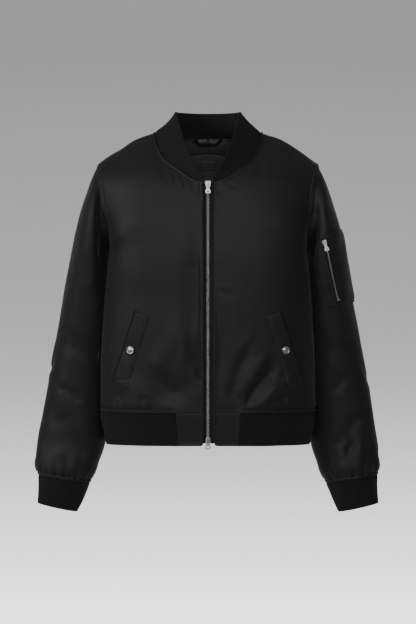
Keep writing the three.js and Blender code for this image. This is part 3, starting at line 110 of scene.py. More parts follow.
# Sections of a sleeve and a cuff: centre, half width, half depth and tip in degrees
SLEEVE = np.array([
    (240, 6, -233, 40, 75, 10), (247, 20, -330, 52, 69, 10.5), (258, 32, -431, 60, 62, 10.5),
    (269, 38, -532, 66, 56, 10.5), (280, 36, -612, 69, 51, 10.5), (290.5, 32, -657, 65, 48, 10),
    (296, 30, -685, 59, 45, 9), (296.5, 29, -697, 54, 41, 8.5),
])
CUFF = np.array([
    (296.5, 29, -697, 54, 41, 8.5), (300, 28, -716, 49, 36, 10), (305, 27, -738, 44.5, 31.5, 11.5),
    (310.5, 26, -757, 41, 28, 12.5),
])
# The large folds that the solids have too: two ends seen from the front, width and height
SLEEVE_FOLDS = [
    (220, -62, 212, -235, 9, -11), (233, -70, 236, -300, 12, 4), (225, -445, 315, -410, 16, -3),
    (262, -640, 300, -580, 16, -5),
]
FRONT_FOLDS = {
    "left": [(78, -540, 128, -455, 13, -4), (108, -545, 158, -500, 14, 4), (30, -300, 34, -470, 10, -3)],
    "right": [(50, -520, 120, -480, 26, -5), (95, -455, 60, -390, 22, 3), (27, -350, 30, -460, 9, -4)],
}

# Creases: height, width and a line, which the photograph's camera sees at these pixels
SEEN_CREASES = {
    "front_left": [
        (-4.0, 12, [(238, 405), (234, 390), (240, 370), (252, 343)]),
        (2.0, 14, [(247, 385), (257, 372), (267, 352)]),
        (-3.6, 10, [(250, 406), (254, 391), (265, 379), (279, 366)]),
        (2.2, 8, [(260, 402), (274, 389), (287, 381)]),
        (-2.0, 6, [(262, 408), (276, 400), (297, 392)]),
        (-1.8, 4, [(248, 409), (248, 400), (252, 393)]),
        (-1.6, 3.5, [(286, 409), (285, 402), (281, 397)]),
        (-1.5, 3.5, [(292, 409), (292, 403), (295, 398)]),
        (-0.8, 5, [(216, 290), (224, 292), (233, 296)]),
        (0.3, 6, [(217, 285), (225, 287), (233, 290)]),
        (-1.4, 9, [(219, 330), (221, 352), (219, 378), (221, 398)]),
        (-0.5, 24, [(228, 232), (250, 240), (280, 232)]),
        (-0.4, 12, [(303, 214), (294, 226), (279, 236)]),
        (-0.3, 12, [(304, 238), (294, 250), (282, 262)]),
        (-0.6, 3, [(225, 181), (231, 185), (238, 187)]),
        (-1.0, 3, [(216, 184), (220, 190), (222, 198)]),
        (-1.2, 8, [(268, 150), (262, 165), (252, 182)]),
    ],
    "front_right": [
        (-3.8, 24, [(197, 215), (198, 260), (197, 320), (198, 400)]),
        (1.6, 18, [(128, 407), (135, 391), (146, 374), (160, 360)]),
        (-5.0, 24, [(147, 418), (157, 404), (169, 393), (188, 385)]),
        (-4.6, 9, [(201, 330), (200, 350), (200, 366), (202, 388)]),
        (1.8, 9, [(185, 332), (182, 350), (182, 372)]),
        (-1.6, 8, [(113, 405), (118, 396), (127, 390)]),
        (-1.5, 4, [(141, 409), (141, 402), (145, 396)]),
        (-1.2, 4, [(122, 409), (122, 403), (119, 398)]),
        (-0.35, 12, [(112, 214), (122, 228), (138, 238)]),
        (-0.3, 12, [(111, 240), (121, 254), (134, 266)]),
        (-1.0, 3, [(171, 170), (174, 176), (175, 183)]),
        (-1.1, 3, [(181, 175), (184, 182), (185, 190)]),
        (-0.9, 3, [(190, 180), (193, 186), (194, 194)]),
        (-1.1, 9, [(157, 155), (163, 170), (172, 186)]),
        (-0.6, 20, [(128, 300), (150, 292), (180, 298)]),
        (-0.4, 7, [(200, 262), (192, 268), (184, 270)]),
    ],
    "sleeve_left": [
        (-5.0, 5, [(312, 173), (314, 190), (312, 216), (307, 238), (307, 270), (309, 310)]),
        (1.5, 9, [(319, 180), (321, 200), (319, 224)]),
        (-2.2, 10, [(356, 372), (343, 380), (330, 396)]),
        (-3.6, 8, [(352, 436), (350, 449), (347, 459)]),
        (2.0, 9, [(341, 442), (337, 454), (334, 464)]),
        (2.0, 9, [(362, 440), (361, 452), (362, 463)]),
        (-1.6, 7, [(326, 300), (332, 318), (334, 338)]),
        (-1.5, 8, [(368, 405), (360, 417), (349, 424)]),
    ],
    "sleeve_right": [
        (-5.0, 5, [(101, 173), (101, 190), (104, 216), (108, 238), (107, 270), (105, 310)]),
        (1.6, 8, [(96, 180), (95, 200), (95, 224)]),
        (-2.2, 9, [(58, 388), (70, 392), (82, 402)]),
        (-1.7, 16, [(47, 462), (51, 448), (59, 440), (68, 448), (73, 460)]),
        (0.7, 10, [(53, 466), (59, 454), (66, 464)]),
        (-1.0, 13, [(48, 405), (58, 415), (70, 419)]),
        (-1.4, 8, [(62, 330), (76, 338), (88, 352)]),
    ],
}
# The same at the back, as places (x, z) of a panel seen from the front, on both halves alike in kind
REAR_CREASES = {
    "left": [
        (-2.2, 14, [(188, -150), (150, -172), (95, -182)]),
        (-2.6, 10, [(196, -215), (165, -250), (120, -272)]),
        (1.8, 12, [(192, -185), (158, -212), (110, -225)]),
        (-2.8, 11, [(95, -548), (118, -505), (158, -472)]),
        (2.2, 11, [(120, -552), (146, -512), (182, -488)]), (-2.0, 8, [(60, -550), (66, -520), (84, -492)]),
        (-2.0, 14, [(40, -330), (48, -390), (42, -450)]), (-1.8, 12, [(140, -360), (150, -410), (140, -455)]),
        (-1.4, 10, [(85, -20), (110, -50), (140, -70)]), (-1.6, 6, [(170, -552), (168, -535), (160, -520)]),
    ],
    "right": [
        (-2.4, 15, [(186, -165), (145, -180), (80, -176)]),
        (-2.4, 10, [(196, -228), (168, -268), (128, -296)]),
        (1.8, 12, [(194, -196), (160, -232), (116, -250)]), (-3.0, 12, [(70, -550), (98, -512), (130, -470)]),
        (2.2, 12, [(98, -552), (128, -520), (164, -500)]), (-1.8, 8, [(150, -553), (158, -530), (180, -508)]),
        (-1.8, 15, [(52, -300), (45, -360), (54, -430)]), (-1.8, 12, [(150, -330), (156, -390), (150, -430)]),
        (-1.4, 10, [(80, -30), (108, -56), (135, -86)]), (-1.4, 6, [(35, -553), (32, -536), (40, -520)]),
    ],
}
# And on a sleeve's other sides, as places (level, angle): 0 is its inner side, 90 its front
SLEEVE_CREASES = {
    "left": [
        (-3.2, 9, [(2.5, 300), (2.75, 265), (2.7, 230)]), (-2.6, 8, [(2.9, 320), (3.1, 285), (3.3, 250)]),
        (1.8, 9, [(2.7, 310), (2.95, 275), (3.0, 240)]), (-2.6, 10, [(0.3, 235), (0.9, 250), (1.7, 262)]),
        (-2.2, 9, [(0.5, 285), (1.1, 278), (1.9, 270)]), (-2.4, 10, [(4.1, 215), (4.4, 240), (4.5, 270)]),
        (-2.6, 8, [(5.6, 250), (6.2, 244), (6.8, 246)]), (-2.2, 8, [(5.4, 300), (6.1, 296), (6.8, 300)]),
        (-2.0, 8, [(3.4, 150), (3.7, 172), (3.8, 200)]), (-1.8, 9, [(1.2, 175), (2.0, 185), (2.6, 182)]),
        (-2.2, 8, [(5.7, 170), (6.3, 176), (6.9, 172)]),
    ],
    "right": [
        (-3.0, 9, [(2.6, 290), (2.7, 255), (2.9, 222)]), (-2.8, 9, [(3.0, 315), (3.3, 280), (3.3, 244)]),
        (1.8, 9, [(2.8, 300), (3.05, 268), (3.1, 236)]), (-2.4, 10, [(0.4, 225), (1.0, 243), (1.8, 256)]),
        (-2.4, 9, [(0.4, 295), (1.0, 284), (1.8, 280)]), (-2.2, 9, [(4.3, 205), (4.5, 232), (4.8, 262)]),
        (-2.4, 8, [(5.5, 262), (6.1, 256), (6.8, 260)]), (-2.2, 8, [(5.5, 312), (6.2, 306), (6.8, 308)]),
        (-2.2, 8, [(3.2, 148), (3.5, 170), (3.5, 196)]), (-1.8, 9, [(1.1, 182), (1.9, 190), (2.5, 186)]),
        (-2.0, 8, [(5.6, 182), (6.2, 186), (6.9, 184)]),
    ],
}
# Gathers that run up from a cuff: angle round the sleeve, depth, width and reach
GATHERS = {
    "left": [
        (37, 4.0, 4.0, 30), (50, 1.8, 3.0, 16), (64, 3.6, 3.6, 38), (79, 1.6, 3.0, 18), (91, 4.2, 3.4, 26),
        (111, 4.0, 3.8, 34), (128, 2.0, 3.2, 18), (146, 3.0, 4.4, 28), (172, 2.6, 4.0, 22),
        (197, 3.2, 4.2, 34),
        (221, 2.4, 3.8, 20), (246, 3.4, 4.0, 36), (270, 2.2, 3.4, 18), (292, 3.2, 4.2, 30),
        (318, 2.6, 4.0, 24),
        (342, 2.2, 4.0, 20), (10, 2.0, 4.0, 18),
    ],
    "right": [
        (30, 1.8, 3.4, 18), (48, 2.6, 3.4, 22), (63, 4.4, 3.8, 30), (77, 2.0, 3.0, 16), (88, 4.6, 3.4, 34),
        (106, 4.2, 3.6, 30), (124, 2.2, 3.4, 20), (141, 3.2, 4.2, 34), (165, 2.4, 4.0, 20),
        (188, 3.4, 4.4, 30),
        (214, 2.6, 3.8, 24), (238, 3.2, 4.0, 32), (262, 2.4, 3.6, 18), (284, 3.4, 4.0, 34),
        (310, 2.4, 4.0, 22),
        (336, 2.4, 4.0, 22), (4, 2.0, 4.0, 18),
    ],
}

HEM_STITCH, EDGE_STITCH, ARM_STITCH, NEAR_STITCH = 6.2, 5.0, 4.6, 1.8  # from a seam or edge to its stitches
ARM_RADIUS = 62  # of the sleeve under its pocket
PATCH_RISE, TAPE_RISE = 1.6, 0.9  # how far the sleeve's zip lies above the satin, and the tape's own height
WELT_CORNERS = dict(top=((116, -362), (143, -351)), bottom=((163, -513), (191, -497)))  # inner, outer
SNAP_PLACE = (154, -431)
ARM_POCKET = dict(top=0.66, top_drop=0.11, bottom=2.14, slot=4.2, front=(32, 80), zip=(84, 109),
                  back=(200, 190))
OVERLAP = dict(left=0.0, right=3.4)  # how far a front's edge reaches over its zip tape
ZIP_TAPE_Z = (-618, -98)
ZIP_CHAIN_Z = (-612, -97)


# Numbers and curves

def track(stations, values):
    """A smooth curve that never overshoots: cubic Hermite pieces whose slope at a station is the
    harmonic mean of the rises on both sides, or 0 where they differ in sign."""
    x0, y0 = np.asarray(stations, float), np.asarray(values, float)
    rise = np.diff(y0) / np.diff(x0)
    slope = np.zeros_like(y0)
    slope[0], slope[-1] = rise[0], rise[-1]
    product, total = rise[:-1] * rise[1:], rise[:-1] + rise[1:]
    slope[1:-1] = np.where(product > 0, 2 * product / np.where(product > 0, total, 1), 0)

    def at(x):
        x = np.asarray(x, float)
        i = np.clip(np.searchsorted(x0, x) - 1, 0, len(x0) - 2)
        h = x0[i + 1] - x0[i]
        s = (x - x0[i]) / h
        return ((2 * s**3 - 3 * s**2 + 1) * y0[i] + (s**3 - 2 * s**2 + s) * h * slope[i]
                + (3 * s**2 - 2 * s**3) * y0[i + 1] + (s**3 - s**2) * h * slope[i + 1])
    return at


def tracks(table):
    """One curve for each column of a table, with its rows at 0, 1, 2 and so on."""
    return [track(np.arange(len(table)), table[:, k]) for k in range(table.shape[1])]


side = track(SIDE[:, 0], SIDE[:, 1])
square = track(SIDE[:, 0], SIDE[:, 2])
centre_front = track(CENTRE_FRONT[:, 0], CENTRE_FRONT[:, 1])
centre_back = track(CENTRE_BACK[:, 0], CENTRE_BACK[:, 1])
sleeve_at = tracks(SLEEVE)
cuff_at = tracks(CUFF)


def vec(x, y, z):
    return np.stack(np.broadcast_arrays(np.asarray(x, float), y, z), axis=-1)


def mix(a, b, t):
    return a + (b - a) * t


def length(v):
    return np.sqrt((v * v).sum(-1))


def unit(v):
    return v / np.maximum(length(v), 1e-9)[..., None]


def bell(x):
    """1 at 0, falling away on both sides as exp(-x squared)."""
    return np.exp(-np.square(x))


def ramp(x):
    return np.clip(x, 0, 1)


def solve(f, value, low, high):
    """The parameter at which a rising function reaches a value, by halving."""
    for _ in range(40):
        middle = (low + high) / 2
        low, high = (middle, high) if f(middle) < value else (low, middle)
    return (low + high) / 2


def run(line):
    """Length along a line of points up to each of them."""
    return np.concatenate([[0], np.cumsum(length(np.diff(line, axis=0)))])


def evenly(line, count, *others):
    """The line, and what goes with its points, at evenly spaced places along its length."""
    s = run(line)
    want = np.linspace(0, s[-1], count) if np.isscalar(count) else np.asarray(count)
    out = [np.stack([np.interp(want, s, a[:, k]) for k in range(a.shape[1])], -1) for a in (line, *others)]
    return out if others else out[0]


def curve_through(places, count=12):
    """A smooth line through a few places of a plane."""
    places = np.asarray(places, float)
    at = np.linspace(0, len(places) - 1, count)
    return np.stack([track(np.arange(len(places)), places[:, k])(at) for k in range(places.shape[1])], -1)


# The jacket's form

def neck_loop(loop, angle):
    """A loop round the neck: an ellipse in plan that drops towards the zip, at an angle from it."""
    c, s = np.cos(np.radians(angle)), np.sin(np.radians(angle))
    z = loop["side_z"] - loop["drop"] * np.maximum(0, c) ** loop["power"] + loop["back"] * np.maximum(0, -c)
    if loop is NECK:
        z = z + NECK_POINT * bell((np.degrees(np.arccos(np.clip(c, -1, 1))) - 34) / 14)
    return vec(loop["half_width"] * s, loop["centre_y"] - loop["half_depth"] * c, z)


def armhole(angle):
    """An ellipse seen from the side that leans out towards the shoulder, at an angle from the armpit."""
    c, s = np.cos(np.radians(angle)), np.sin(np.radians(angle))
    return vec(side(ARMPIT_Z) + 24 * ((1 - c) / 2) ** 2, -62 * s, ARMPIT_Z + 85 * (1 - c))


def front_inner(s):
    """The zip's edge up to the neck, and then the neckline to the shoulder seam."""
    z = neck_loop(NECK, NECK_START_ANGLE)[..., 2] + s
    below = vec(CENTRE_EDGE_X, -centre_front(z), z)
    above = neck_loop(NECK, mix(NECK_START_ANGLE, SHOULDER_SEAM_ANGLE, s / FRONT_NECK_ARC))
    return np.where((s <= 0)[..., None], below, above)


def back_inner(s):
    """The middle of the back up to the nape, and then the neckline to the shoulder seam."""
    z = neck_loop(NECK, 180)[..., 2] + s
    above = neck_loop(NECK, mix(180, SHOULDER_SEAM_ANGLE, s / BACK_NECK_ARC))
    return np.where((s <= 0)[..., None], vec(0, centre_back(z), z), above)


def outer_edge(s, turn):
    """The side seam up to the armpit, and then the armhole."""
    below = vec(side(ARMPIT_Z + s), 0, ARMPIT_Z + s)
    return np.where((s <= 0)[..., None], below, armhole(turn * s * 360 / ARMHOLE_ROUND))


def panel(rows, inner, turn):
    """A panel's surface over (u, v): each row v is an arc of an ellipse made boxier by a power, which
    runs from the inner edge at u = 0 to the outer edge at u = 1, and drops, puffs and crowns between."""
    at = tracks(rows)

    def surface(u, v):
        u, v = np.broadcast_arrays(np.asarray(u, float), np.asarray(v, float))
        inner_s, outer_s, wrap, sag, puff, crown = (column(v) for column in at)
        a, b = inner(inner_s), outer_edge(outer_s, turn)
        wrap = np.radians(np.minimum(90, wrap))
        power = 1 - square(np.minimum(b[..., 2], -100))
        along = (np.sin(u * wrap) / np.sin(wrap)) ** power
        depth = np.maximum(0, (np.cos(u * wrap) - np.cos(wrap)) / (1 - np.cos(wrap))) ** power
        near_top = ramp((v - len(rows) + 3.2) / 2.2)
        rise = SHOULDER_RISE * near_top * np.sin(np.pi * np.minimum(1, u / 0.62)) ** 1.3
        return vec(
            mix(a[..., 0], b[..., 0], along),
            mix(b[..., 1], a[..., 1], depth) - turn * puff * np.sin(np.pi * u),
            mix(a[..., 2], b[..., 2], along**sag) + crown * np.sin(np.pi * u**1.5) + rise,
        )
    return surface


front_base = panel(FRONT_ROWS, front_inner, 1)
back_base = panel(BACK_ROWS, back_inner, -1)
FRONT_TOP = len(FRONT_ROWS) - 1
BACK_TOP = len(BACK_ROWS) - 1


def section_point(at, level, angle):
    """A point of a tube's tipped ellipse: 0 degrees is its inner side, 90 its front."""
    x, y, z, width, depth, tip = (column(level) for column in at)
    out, forward = -np.cos(np.radians(angle)) * width, np.sin(np.radians(angle)) * depth
    return vec(x + out * np.cos(np.radians(tip)), y - forward, z + out * np.sin(np.radians(tip)))


def clear_of_body(p):
    """Pushes a sleeve's points out of the body's section at their height."""
    x, y, z = p[..., 0], p[..., 1], p[..., 2]
    gap = 2.5 * np.clip((ARMPIT_Z - z) / 24, 0.12, 1)
    power = 2 / (1 - square(z))
    a = side(z) + gap
    b = np.where(y < 0, centre_front(z), centre_back(z)) + gap
    q = (np.abs(x) / a) ** power + (np.abs(y) / b) ** power
    inside = (q < 1) & (z <= ARMPIT_Z) & (z >= HEM_Z)
    grow = np.where(inside, np.maximum(q, 1e-6) ** (-1 / power), 1)
    return vec(x * grow, y * grow, z)


def sleeve_base(level, angle):
    """Level 0 is the armhole and 1 the bicep, joined by Hermite curves; below it lie the sections."""
    level, angle = np.broadcast_arrays(np.asarray(level, float), np.asarray(angle, float))
    low = clear_of_body(section_point(sleeve_at, np.maximum(level - 1, 0), angle))
    start = armhole(angle)
    end = clear_of_body(section_point(sleeve_at, np.zeros_like(level), angle))
    first = section_point(sleeve_at, 0 * level, angle)
    below = unit(section_point(sleeve_at, 0.05 + 0 * level, angle) - first)
    s, top = np.sin(np.radians(angle)), (1 - np.cos(np.radians(angle))) / 2
    leave = unit(vec(0.75 - 0.3 * top, -0.35 * s, -0.25 - 0.7 * top))
    span = length(start - end)[..., None]
    t = level[..., None]
    head = (start * (2 * t**3 - 3 * t**2 + 1) + leave * (t**3 - 2 * t**2 + t) * span
            + end * (3 * t**2 - 2 * t**3) + below * (t**3 - t**2) * span)
    return np.where(t < 1, clear_of_body(head), low)


def collar_base(angle, w):
    """Straight from the neck's seam, w = 0, to the collar's top edge, w = 1, slightly hollow between."""
    seam, top = neck_loop(NECK, angle), neck_loop(COLLAR, angle)
    out = unit(vec(np.sin(np.radians(angle)), -np.cos(np.radians(angle)), 0.6))
    crown = COLLAR_CROWN * np.sin(np.pi * w) * ramp(length(seam - top) / 40)
    return mix(seam, top, np.asarray(w)[..., None]) + out * crown[..., None]


# Cloth on a grid

class Sheet:
    """Cloth on a grid: rows at v, columns at u, points and outward directions. A closed one goes
    round, and its columns are angles up to 360."""

    def __init__(self, v, u, points, facing, closed=False):
        self.v, self.u, self.points = np.asarray(v, float), np.asarray(u, float), points
        self.facing, self.closed = facing, closed
        self.turn_out()

    def turn_out(self):
        """Each direction is the cross product of the differences along a row and along a column."""
        p = self.points
        across = np.roll(p, -1, 1) - np.roll(p, 1, 1) if self.closed else np.gradient(p, axis=1)
        self.normals = unit(np.cross(across, np.gradient(p, axis=0))) * self.facing

    def lift(self, height):
        self.points = self.points + self.normals * height[..., None]
        self.turn_out()

    def at(self, v, u):
        """The point and direction at any place of the grid, straight between its nearest four."""
        v, u = np.broadcast_arrays(np.asarray(v, float), np.asarray(u, float))
        columns = np.append(self.u, 360) if self.closed else self.u
        u = u % 360 if self.closed else u
        i = np.clip(np.searchsorted(self.v, v) - 1, 0, len(self.v) - 2)
        j = np.clip(np.searchsorted(columns, u) - 1, 0, len(columns) - 2)
        s = ((v - self.v[i]) / (self.v[i + 1] - self.v[i]))[..., None]
        t = ((u - columns[j]) / (columns[j + 1] - columns[j]))[..., None]
        k = (j + 1) % len(self.u)
        between = [mix(mix(a[i, j], a[i, k], t), mix(a[i + 1, j], a[i + 1, k], t), s)
                   for a in (self.points, self.normals)]
        return between[0], unit(between[1])

    def under(self, x, z, way=-1):
        """The point and direction at a place seen from the front, or from the back where way is 1:
        the nearest four grid points, each carried along its own plane to that place, and weighed by
        nearness."""
        p, n = self.points.reshape(-1, 3), self.normals.reshape(-1, 3)
        front = n[:, 1] * way > 0.15
        p, n = p[front], n[front]
        x, z = np.broadcast_arrays(np.asarray(x, float), np.asarray(z, float))
        shape, x, z = x.shape, x.ravel(), z.ravel()
        away = (p[None, :, 0] - x[:, None]) ** 2 + (p[None, :, 2] - z[:, None]) ** 2
        near = np.argpartition(away, 4, axis=1)[:, :4]
        weight = 1 / (np.take_along_axis(away, near, 1) + 0.3)
        weight /= weight.sum(1, keepdims=True)
        q, m = p[near], n[near]
        slope = m[..., 0] * (x[:, None] - q[..., 0]) + m[..., 2] * (z[:, None] - q[..., 2])
        y = q[..., 1] - slope / m[..., 1]
        point = vec(x, (y * weight).sum(1), z)
        normal = unit((m * weight[..., None]).sum(1))
        return point.reshape(*shape, 3), normal.reshape(*shape, 3)

    def lengths(self):
        """How far each grid point lies along its row, and along the middle column, for the weave."""
        across = length(np.diff(self.points, axis=1))
        if self.closed:
            last = length(self.points[:, :1] - self.points[:, -1:])
            across = np.concatenate([across, last], 1)
        u = np.concatenate([np.zeros((len(self.v), 1)), np.cumsum(across, 1)], 1)
        v = run(self.points[:, self.points.shape[1] // 2])
        return np.stack([u, np.broadcast_to(v[:, None], u.shape)], -1)


def near_line(points, line):
    """The distance of each point from a line, and how far along the line its nearest place is."""
    flat = points.reshape(-1, 3)
    best, where = np.full(len(flat), 1e9), np.zeros(len(flat))
    done = 0.0
    for a, b in zip(line[:-1], line[1:]):
        span = float(length(b - a))
        if span < 1e-6:
            continue
        t = np.clip((flat - a) @ (b - a) / span**2, 0, 1)
        d = length(flat - a - t[:, None] * (b - a))
        closer = d < best
        best[closer], where[closer] = d[closer], done + t[closer] * span
        done += span
    return best.reshape(points.shape[:-1]), where.reshape(points.shape[:-1])


def seam_line(line, pieces=70):
    """A seam with few enough straight pieces to measure from."""
    return evenly(line, min(len(line), pieces))


def crease(points, line, height, width, phase):
    """A soft trough or ridge along a line: a bell across it with a shallow counter-swell on both sides,
    which dies away at both ends and is uneven in depth and width between them."""
    d, s = near_line(points, line)
    t = s / run(line)[-1]
    depth = np.sin(np.pi * np.clip(t, 0.02, 0.98)) ** 0.7 * (1 + 0.22 * np.sin(7.3 * t + phase))
    w = width * (0.72 + 0.5 * np.sin(np.pi * t) + 0.12 * np.sin(9.1 * t + 2 * phase))
    return height * depth * (1.35 * bell(d / w) - 0.35 * bell(d / (2.3 * w)))


def waves(points, seed, wavelength, height, count=10, stretch=(1.0, 1.0, 0.55)):
    """A gentle unevenness: a sum of sines with directions, lengths and phases drawn from a seed."""
    draw = np.random.default_rng(seed)
    ways = unit(draw.normal(size=(count, 3)) * stretch)
    ways *= (2 * np.pi / (wavelength * draw.uniform(0.7, 1.7, count)))[:, None]
    turns = points @ ways.T + draw.uniform(0, 2 * np.pi, count)
    return height * np.sin(turns).sum(-1) / np.sqrt(count / 2)


def fold_height(folds, x, z):
    """The large folds: a bell across each straight line seen from the front."""
    total = 0 * x
    for x0, z0, x1, z1, width, height in folds:
        dx, dz = x1 - x0, z1 - z0
        t = ramp(((x - x0) * dx + (z - z0) * dz) / (dx * dx + dz * dz))
        total = total + height * bell(np.hypot(x - x0 - t * dx, z - z0 - t * dz) / width)
    return total


def seen_line(sheet, pixels, sign):
    """The line on a piece that the photograph's camera sees at some pixels."""
    p, n = sheet.points.reshape(-1, 3), sheet.normals.reshape(-1, 3)
    scale = MM_PER_PIXEL * (CAMERA_DISTANCE + p[:, 1]) / CAMERA_DISTANCE
    across = PHOTO_SIZE[0] / 2 + sign * p[:, 0] / scale
    down = PHOTO_SIZE[1] / 2 - (p[:, 2] - CAMERA_HEIGHT) / scale
    hidden = np.where(n[:, 1] > -0.05, 1e6, 0)
    line = curve_through(pixels)
    return p[[int(np.argmin((across - x) ** 2 + (down - y) ** 2 + hidden)) for x, y in line]]


def rear_line(sheet, places):
    """The line on a piece's back face at some places (x, z)."""
    p, n = sheet.points.reshape(-1, 3), sheet.normals.reshape(-1, 3)
    hidden = np.where(n[:, 1] < 0.05, 1e6, 0)
    line = curve_through(places)
    return p[[int(np.argmin((p[:, 0] - x) ** 2 + (p[:, 2] - z) ** 2 + hidden)) for x, z in line]]


def roll(d, width, height, groove=0.0):
    """A seam's edge: the cloth stands up between the seam and its topstitching, where it dips."""
    return height * bell((d - 0.45 * width) / (0.42 * width)) - groove * bell((d - width) / 1.1)


def puckers(d, s, height, seed, reach=11.0):
    """Small uneven waves along a seam that die away from it."""
    draw = np.random.default_rng(seed)
    total = sum(a * np.sin(2 * np.pi * s / w + p) for a, w, p in
                zip((1, 0.7, 0.5), draw.uniform(8, 21, 3), draw.uniform(0, 6, 3)))
    uneven = 0.55 + 0.45 * np.sin(s / 37 + draw.uniform(0, 6))
    return height * total * uneven * np.exp(-d / reach) * ramp(d / 1.5)


def steps(total, edge, middle, low_end=True, high_end=True):
    """Shares of a length, close together near its ends, in millimetres, and even between them."""
    fine = np.array([0, 0.5, 1.3, 2.3, 3.6, 5, 6.4, 8, 10]) * edge
    fine = fine[fine < total * 0.25]
    low = fine if low_end else np.array([0.0])
    high = fine if high_end else np.array([0.0])
    span = total - low[-1] - high[-1]
    inner = np.linspace(low[-1], total - high[-1], max(2, int(round(span / middle))) + 1)[1:-1]
    return np.concatenate([low, inner, (total - high)[::-1]]) / total


def along_column(surface, u, v0, v1, shares):
    """The values of v that lie at shares of the length of a column."""
    v = np.linspace(v0, v1, 600)
    s = run(surface(u, v))
    return np.interp(np.asarray(shares) * s[-1], s, v)


# Mesh making

class Piece:
    """Gathers points, faces, UVs and material numbers, and makes one object of them."""

    def __init__(self):
        self.points, self.faces, self.uvs, self.slots, self.count = [], [], [], [], 0

    def add(self, points, faces, uv=None, slot=0, sign=1, reverse=False):
        """Adds faces, as rows of point numbers or several arrays of them, mirrored to the wearer's
        right where sign is -1."""
        points = np.asarray(points, float).reshape(-1, 3) * (sign, 1, 1)
        for group in faces if isinstance(faces, list) else [faces]:
            group = np.asarray(group)
            places = np.zeros((*group.shape, 2)) if uv is None else uv
            if reverse != (sign < 0):
                group, places = group[:, ::-1], places[:, ::-1]
            self.faces.extend((group + self.count).tolist())
            self.uvs.append(places.reshape(-1, 2))
            self.slots.append(np.broadcast_to(slot, len(group)))
        self.points.append(points)
        self.count += len(points)

    def build(self, name, materials, body=JACKET, slot=None, replaces=(), weld=False):
        points = np.concatenate(self.points)
        faces = self.faces
        if weld:
            _, first, place = np.unique(np.round(points, 4) + 0.0, axis=0, return_index=True,
                                        return_inverse=True)
            place = place.reshape(-1)
            points = points[first]
            faces = [[int(place[i]) for i in face] for face in faces]
        mesh = bpy.data.meshes.new(name)
        mesh.from_pydata((points * MM).tolist(), [], faces)
        layer = mesh.uv_layers.new(name="cloth")
        layer.data.foreach_set("uv", (np.concatenate(self.uvs) * MM).ravel())
        mesh.polygons.foreach_set("material_index", np.concatenate(self.slots).astype(np.int32))
        mesh.polygons.foreach_set("use_smooth", np.ones(len(faces), bool))
        for m in materials:
            mesh.materials.append(material(m))
        mesh.update()
        obj = bpy.data.objects.new(name, mesh)
        bpy.context.scene.collection.objects.link(obj)
        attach(obj, body)
        if replaces:
            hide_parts(*replaces)
        return obj


def shell(piece, sheet, thickness, rim, used=None, sign=1, slots=(0, 1), open_left=None):
    """A closed wall: the outer points, and the inner ones a thickness below them. Near the rim both
    draw in to the middle on a half circle, so that a cut or folded edge is round."""
    rows, columns = sheet.points.shape[:2]
    f = np.sqrt(np.clip(1 - (1 - np.minimum(rim / (0.5 * thickness), 1)) ** 2, 0.01, 1))[..., None]
    outer = sheet.points - sheet.normals * (thickness / 2) * (1 - f)
    inner = sheet.points - sheet.normals * (thickness / 2) * (1 + f)
    total = rows * columns
    index = np.arange(total).reshape(rows, columns)
    if sheet.closed:
        index = np.concatenate([index, index[:, :1]], 1)
    wide = index.shape[1] - 1
    used = np.ones((rows - 1, wide), bool) if used is None else used
    corners = lambda a: [a[:-1, :-1], a[:-1, 1:], a[1:, 1:], a[1:, :-1]]
    a, b, c, d = corners(index)
    uv = sheet.lengths()
    uv_a, uv_b, uv_c, uv_d = corners(uv if uv.shape[1] == wide + 1 else uv[:, :wide + 1])
    quads = lambda *q: np.stack([k[used] for k in q], -1)
    uvs = lambda *q: np.stack([k[used] for k in q], 1)
    points = np.concatenate([outer.reshape(-1, 3), inner.reshape(-1, 3)])
    reverse = sheet.facing < 0
    empty = np.zeros_like(used)
    below, above = empty.copy(), empty.copy()
    below[1:], above[:-1] = used[:-1], used[1:]
    if sheet.closed:
        left, right = np.roll(used, 1, 1), np.roll(used, -1, 1)
    else:
        left, right = empty.copy(), empty.copy()
        left[:, 1:], right[:, :-1] = used[:, :-1], used[:, 1:]
        if open_left is not None:
            left[:, 0] |= open_left
    walls = []
    for other, p, q in ((below, b, a), (above, d, c), (left, a, d), (right, c, b)):
        edge = used & ~other
        walls.append(np.stack([p[edge], q[edge], total + q[edge], total + p[edge]], -1))
    walls = np.concatenate(walls)
    faces = np.concatenate([quads(a, b, c, d), quads(a, d, c, b) + total, walls])
    uv = np.concatenate([uvs(uv_a, uv_b, uv_c, uv_d), uvs(uv_a, uv_d, uv_c, uv_b),
                         np.zeros((len(walls), 4, 2))])
    face_count = int(used.sum())
    slot = np.repeat([slots[0], slots[1], slots[0]], [face_count, face_count, len(walls)])
    piece.add(points, faces, uv, slot, sign, reverse)


def place_copies(piece, shape, faces, origins, x, y, z, sign=1, slot=0):
    """Puts a copy of a small shape at each origin, turned to its own three directions."""
    points = origins[:, None] + (shape[None, :, 0:1] * x[:, None] + shape[None, :, 1:2] * y[:, None]
                                 + shape[None, :, 2:3] * z[:, None])
    first = (np.arange(len(origins)) * len(shape))[:, None, None]
    piece.add(points, [(np.asarray(group)[None] + first).reshape(-1, len(group[0])) for group in faces],
              slot=slot, sign=sign)


def stitch_shape():
    """One stitch: a five-sided spindle of length 1 along X and radius 1."""
    turn = np.arange(5) * 2 * np.pi / 5
    ring = np.stack([np.cos(turn), np.sin(turn)], -1)
    points = np.concatenate([
        [(-0.5, 0, 0)], np.column_stack([np.full(5, -0.3), ring]), np.column_stack([np.full(5, 0.3), ring]),
        [(0.5, 0, 0)]])
    k = np.arange(5)
    n = (k + 1) % 5
    ends = np.concatenate([np.stack([0 * k, 1 + n, 1 + k], -1), np.stack([11 + 0 * k, 6 + k, 6 + n], -1)])
    return points, [ends, np.stack([1 + k, 1 + n, 6 + n, 6 + k], -1)]


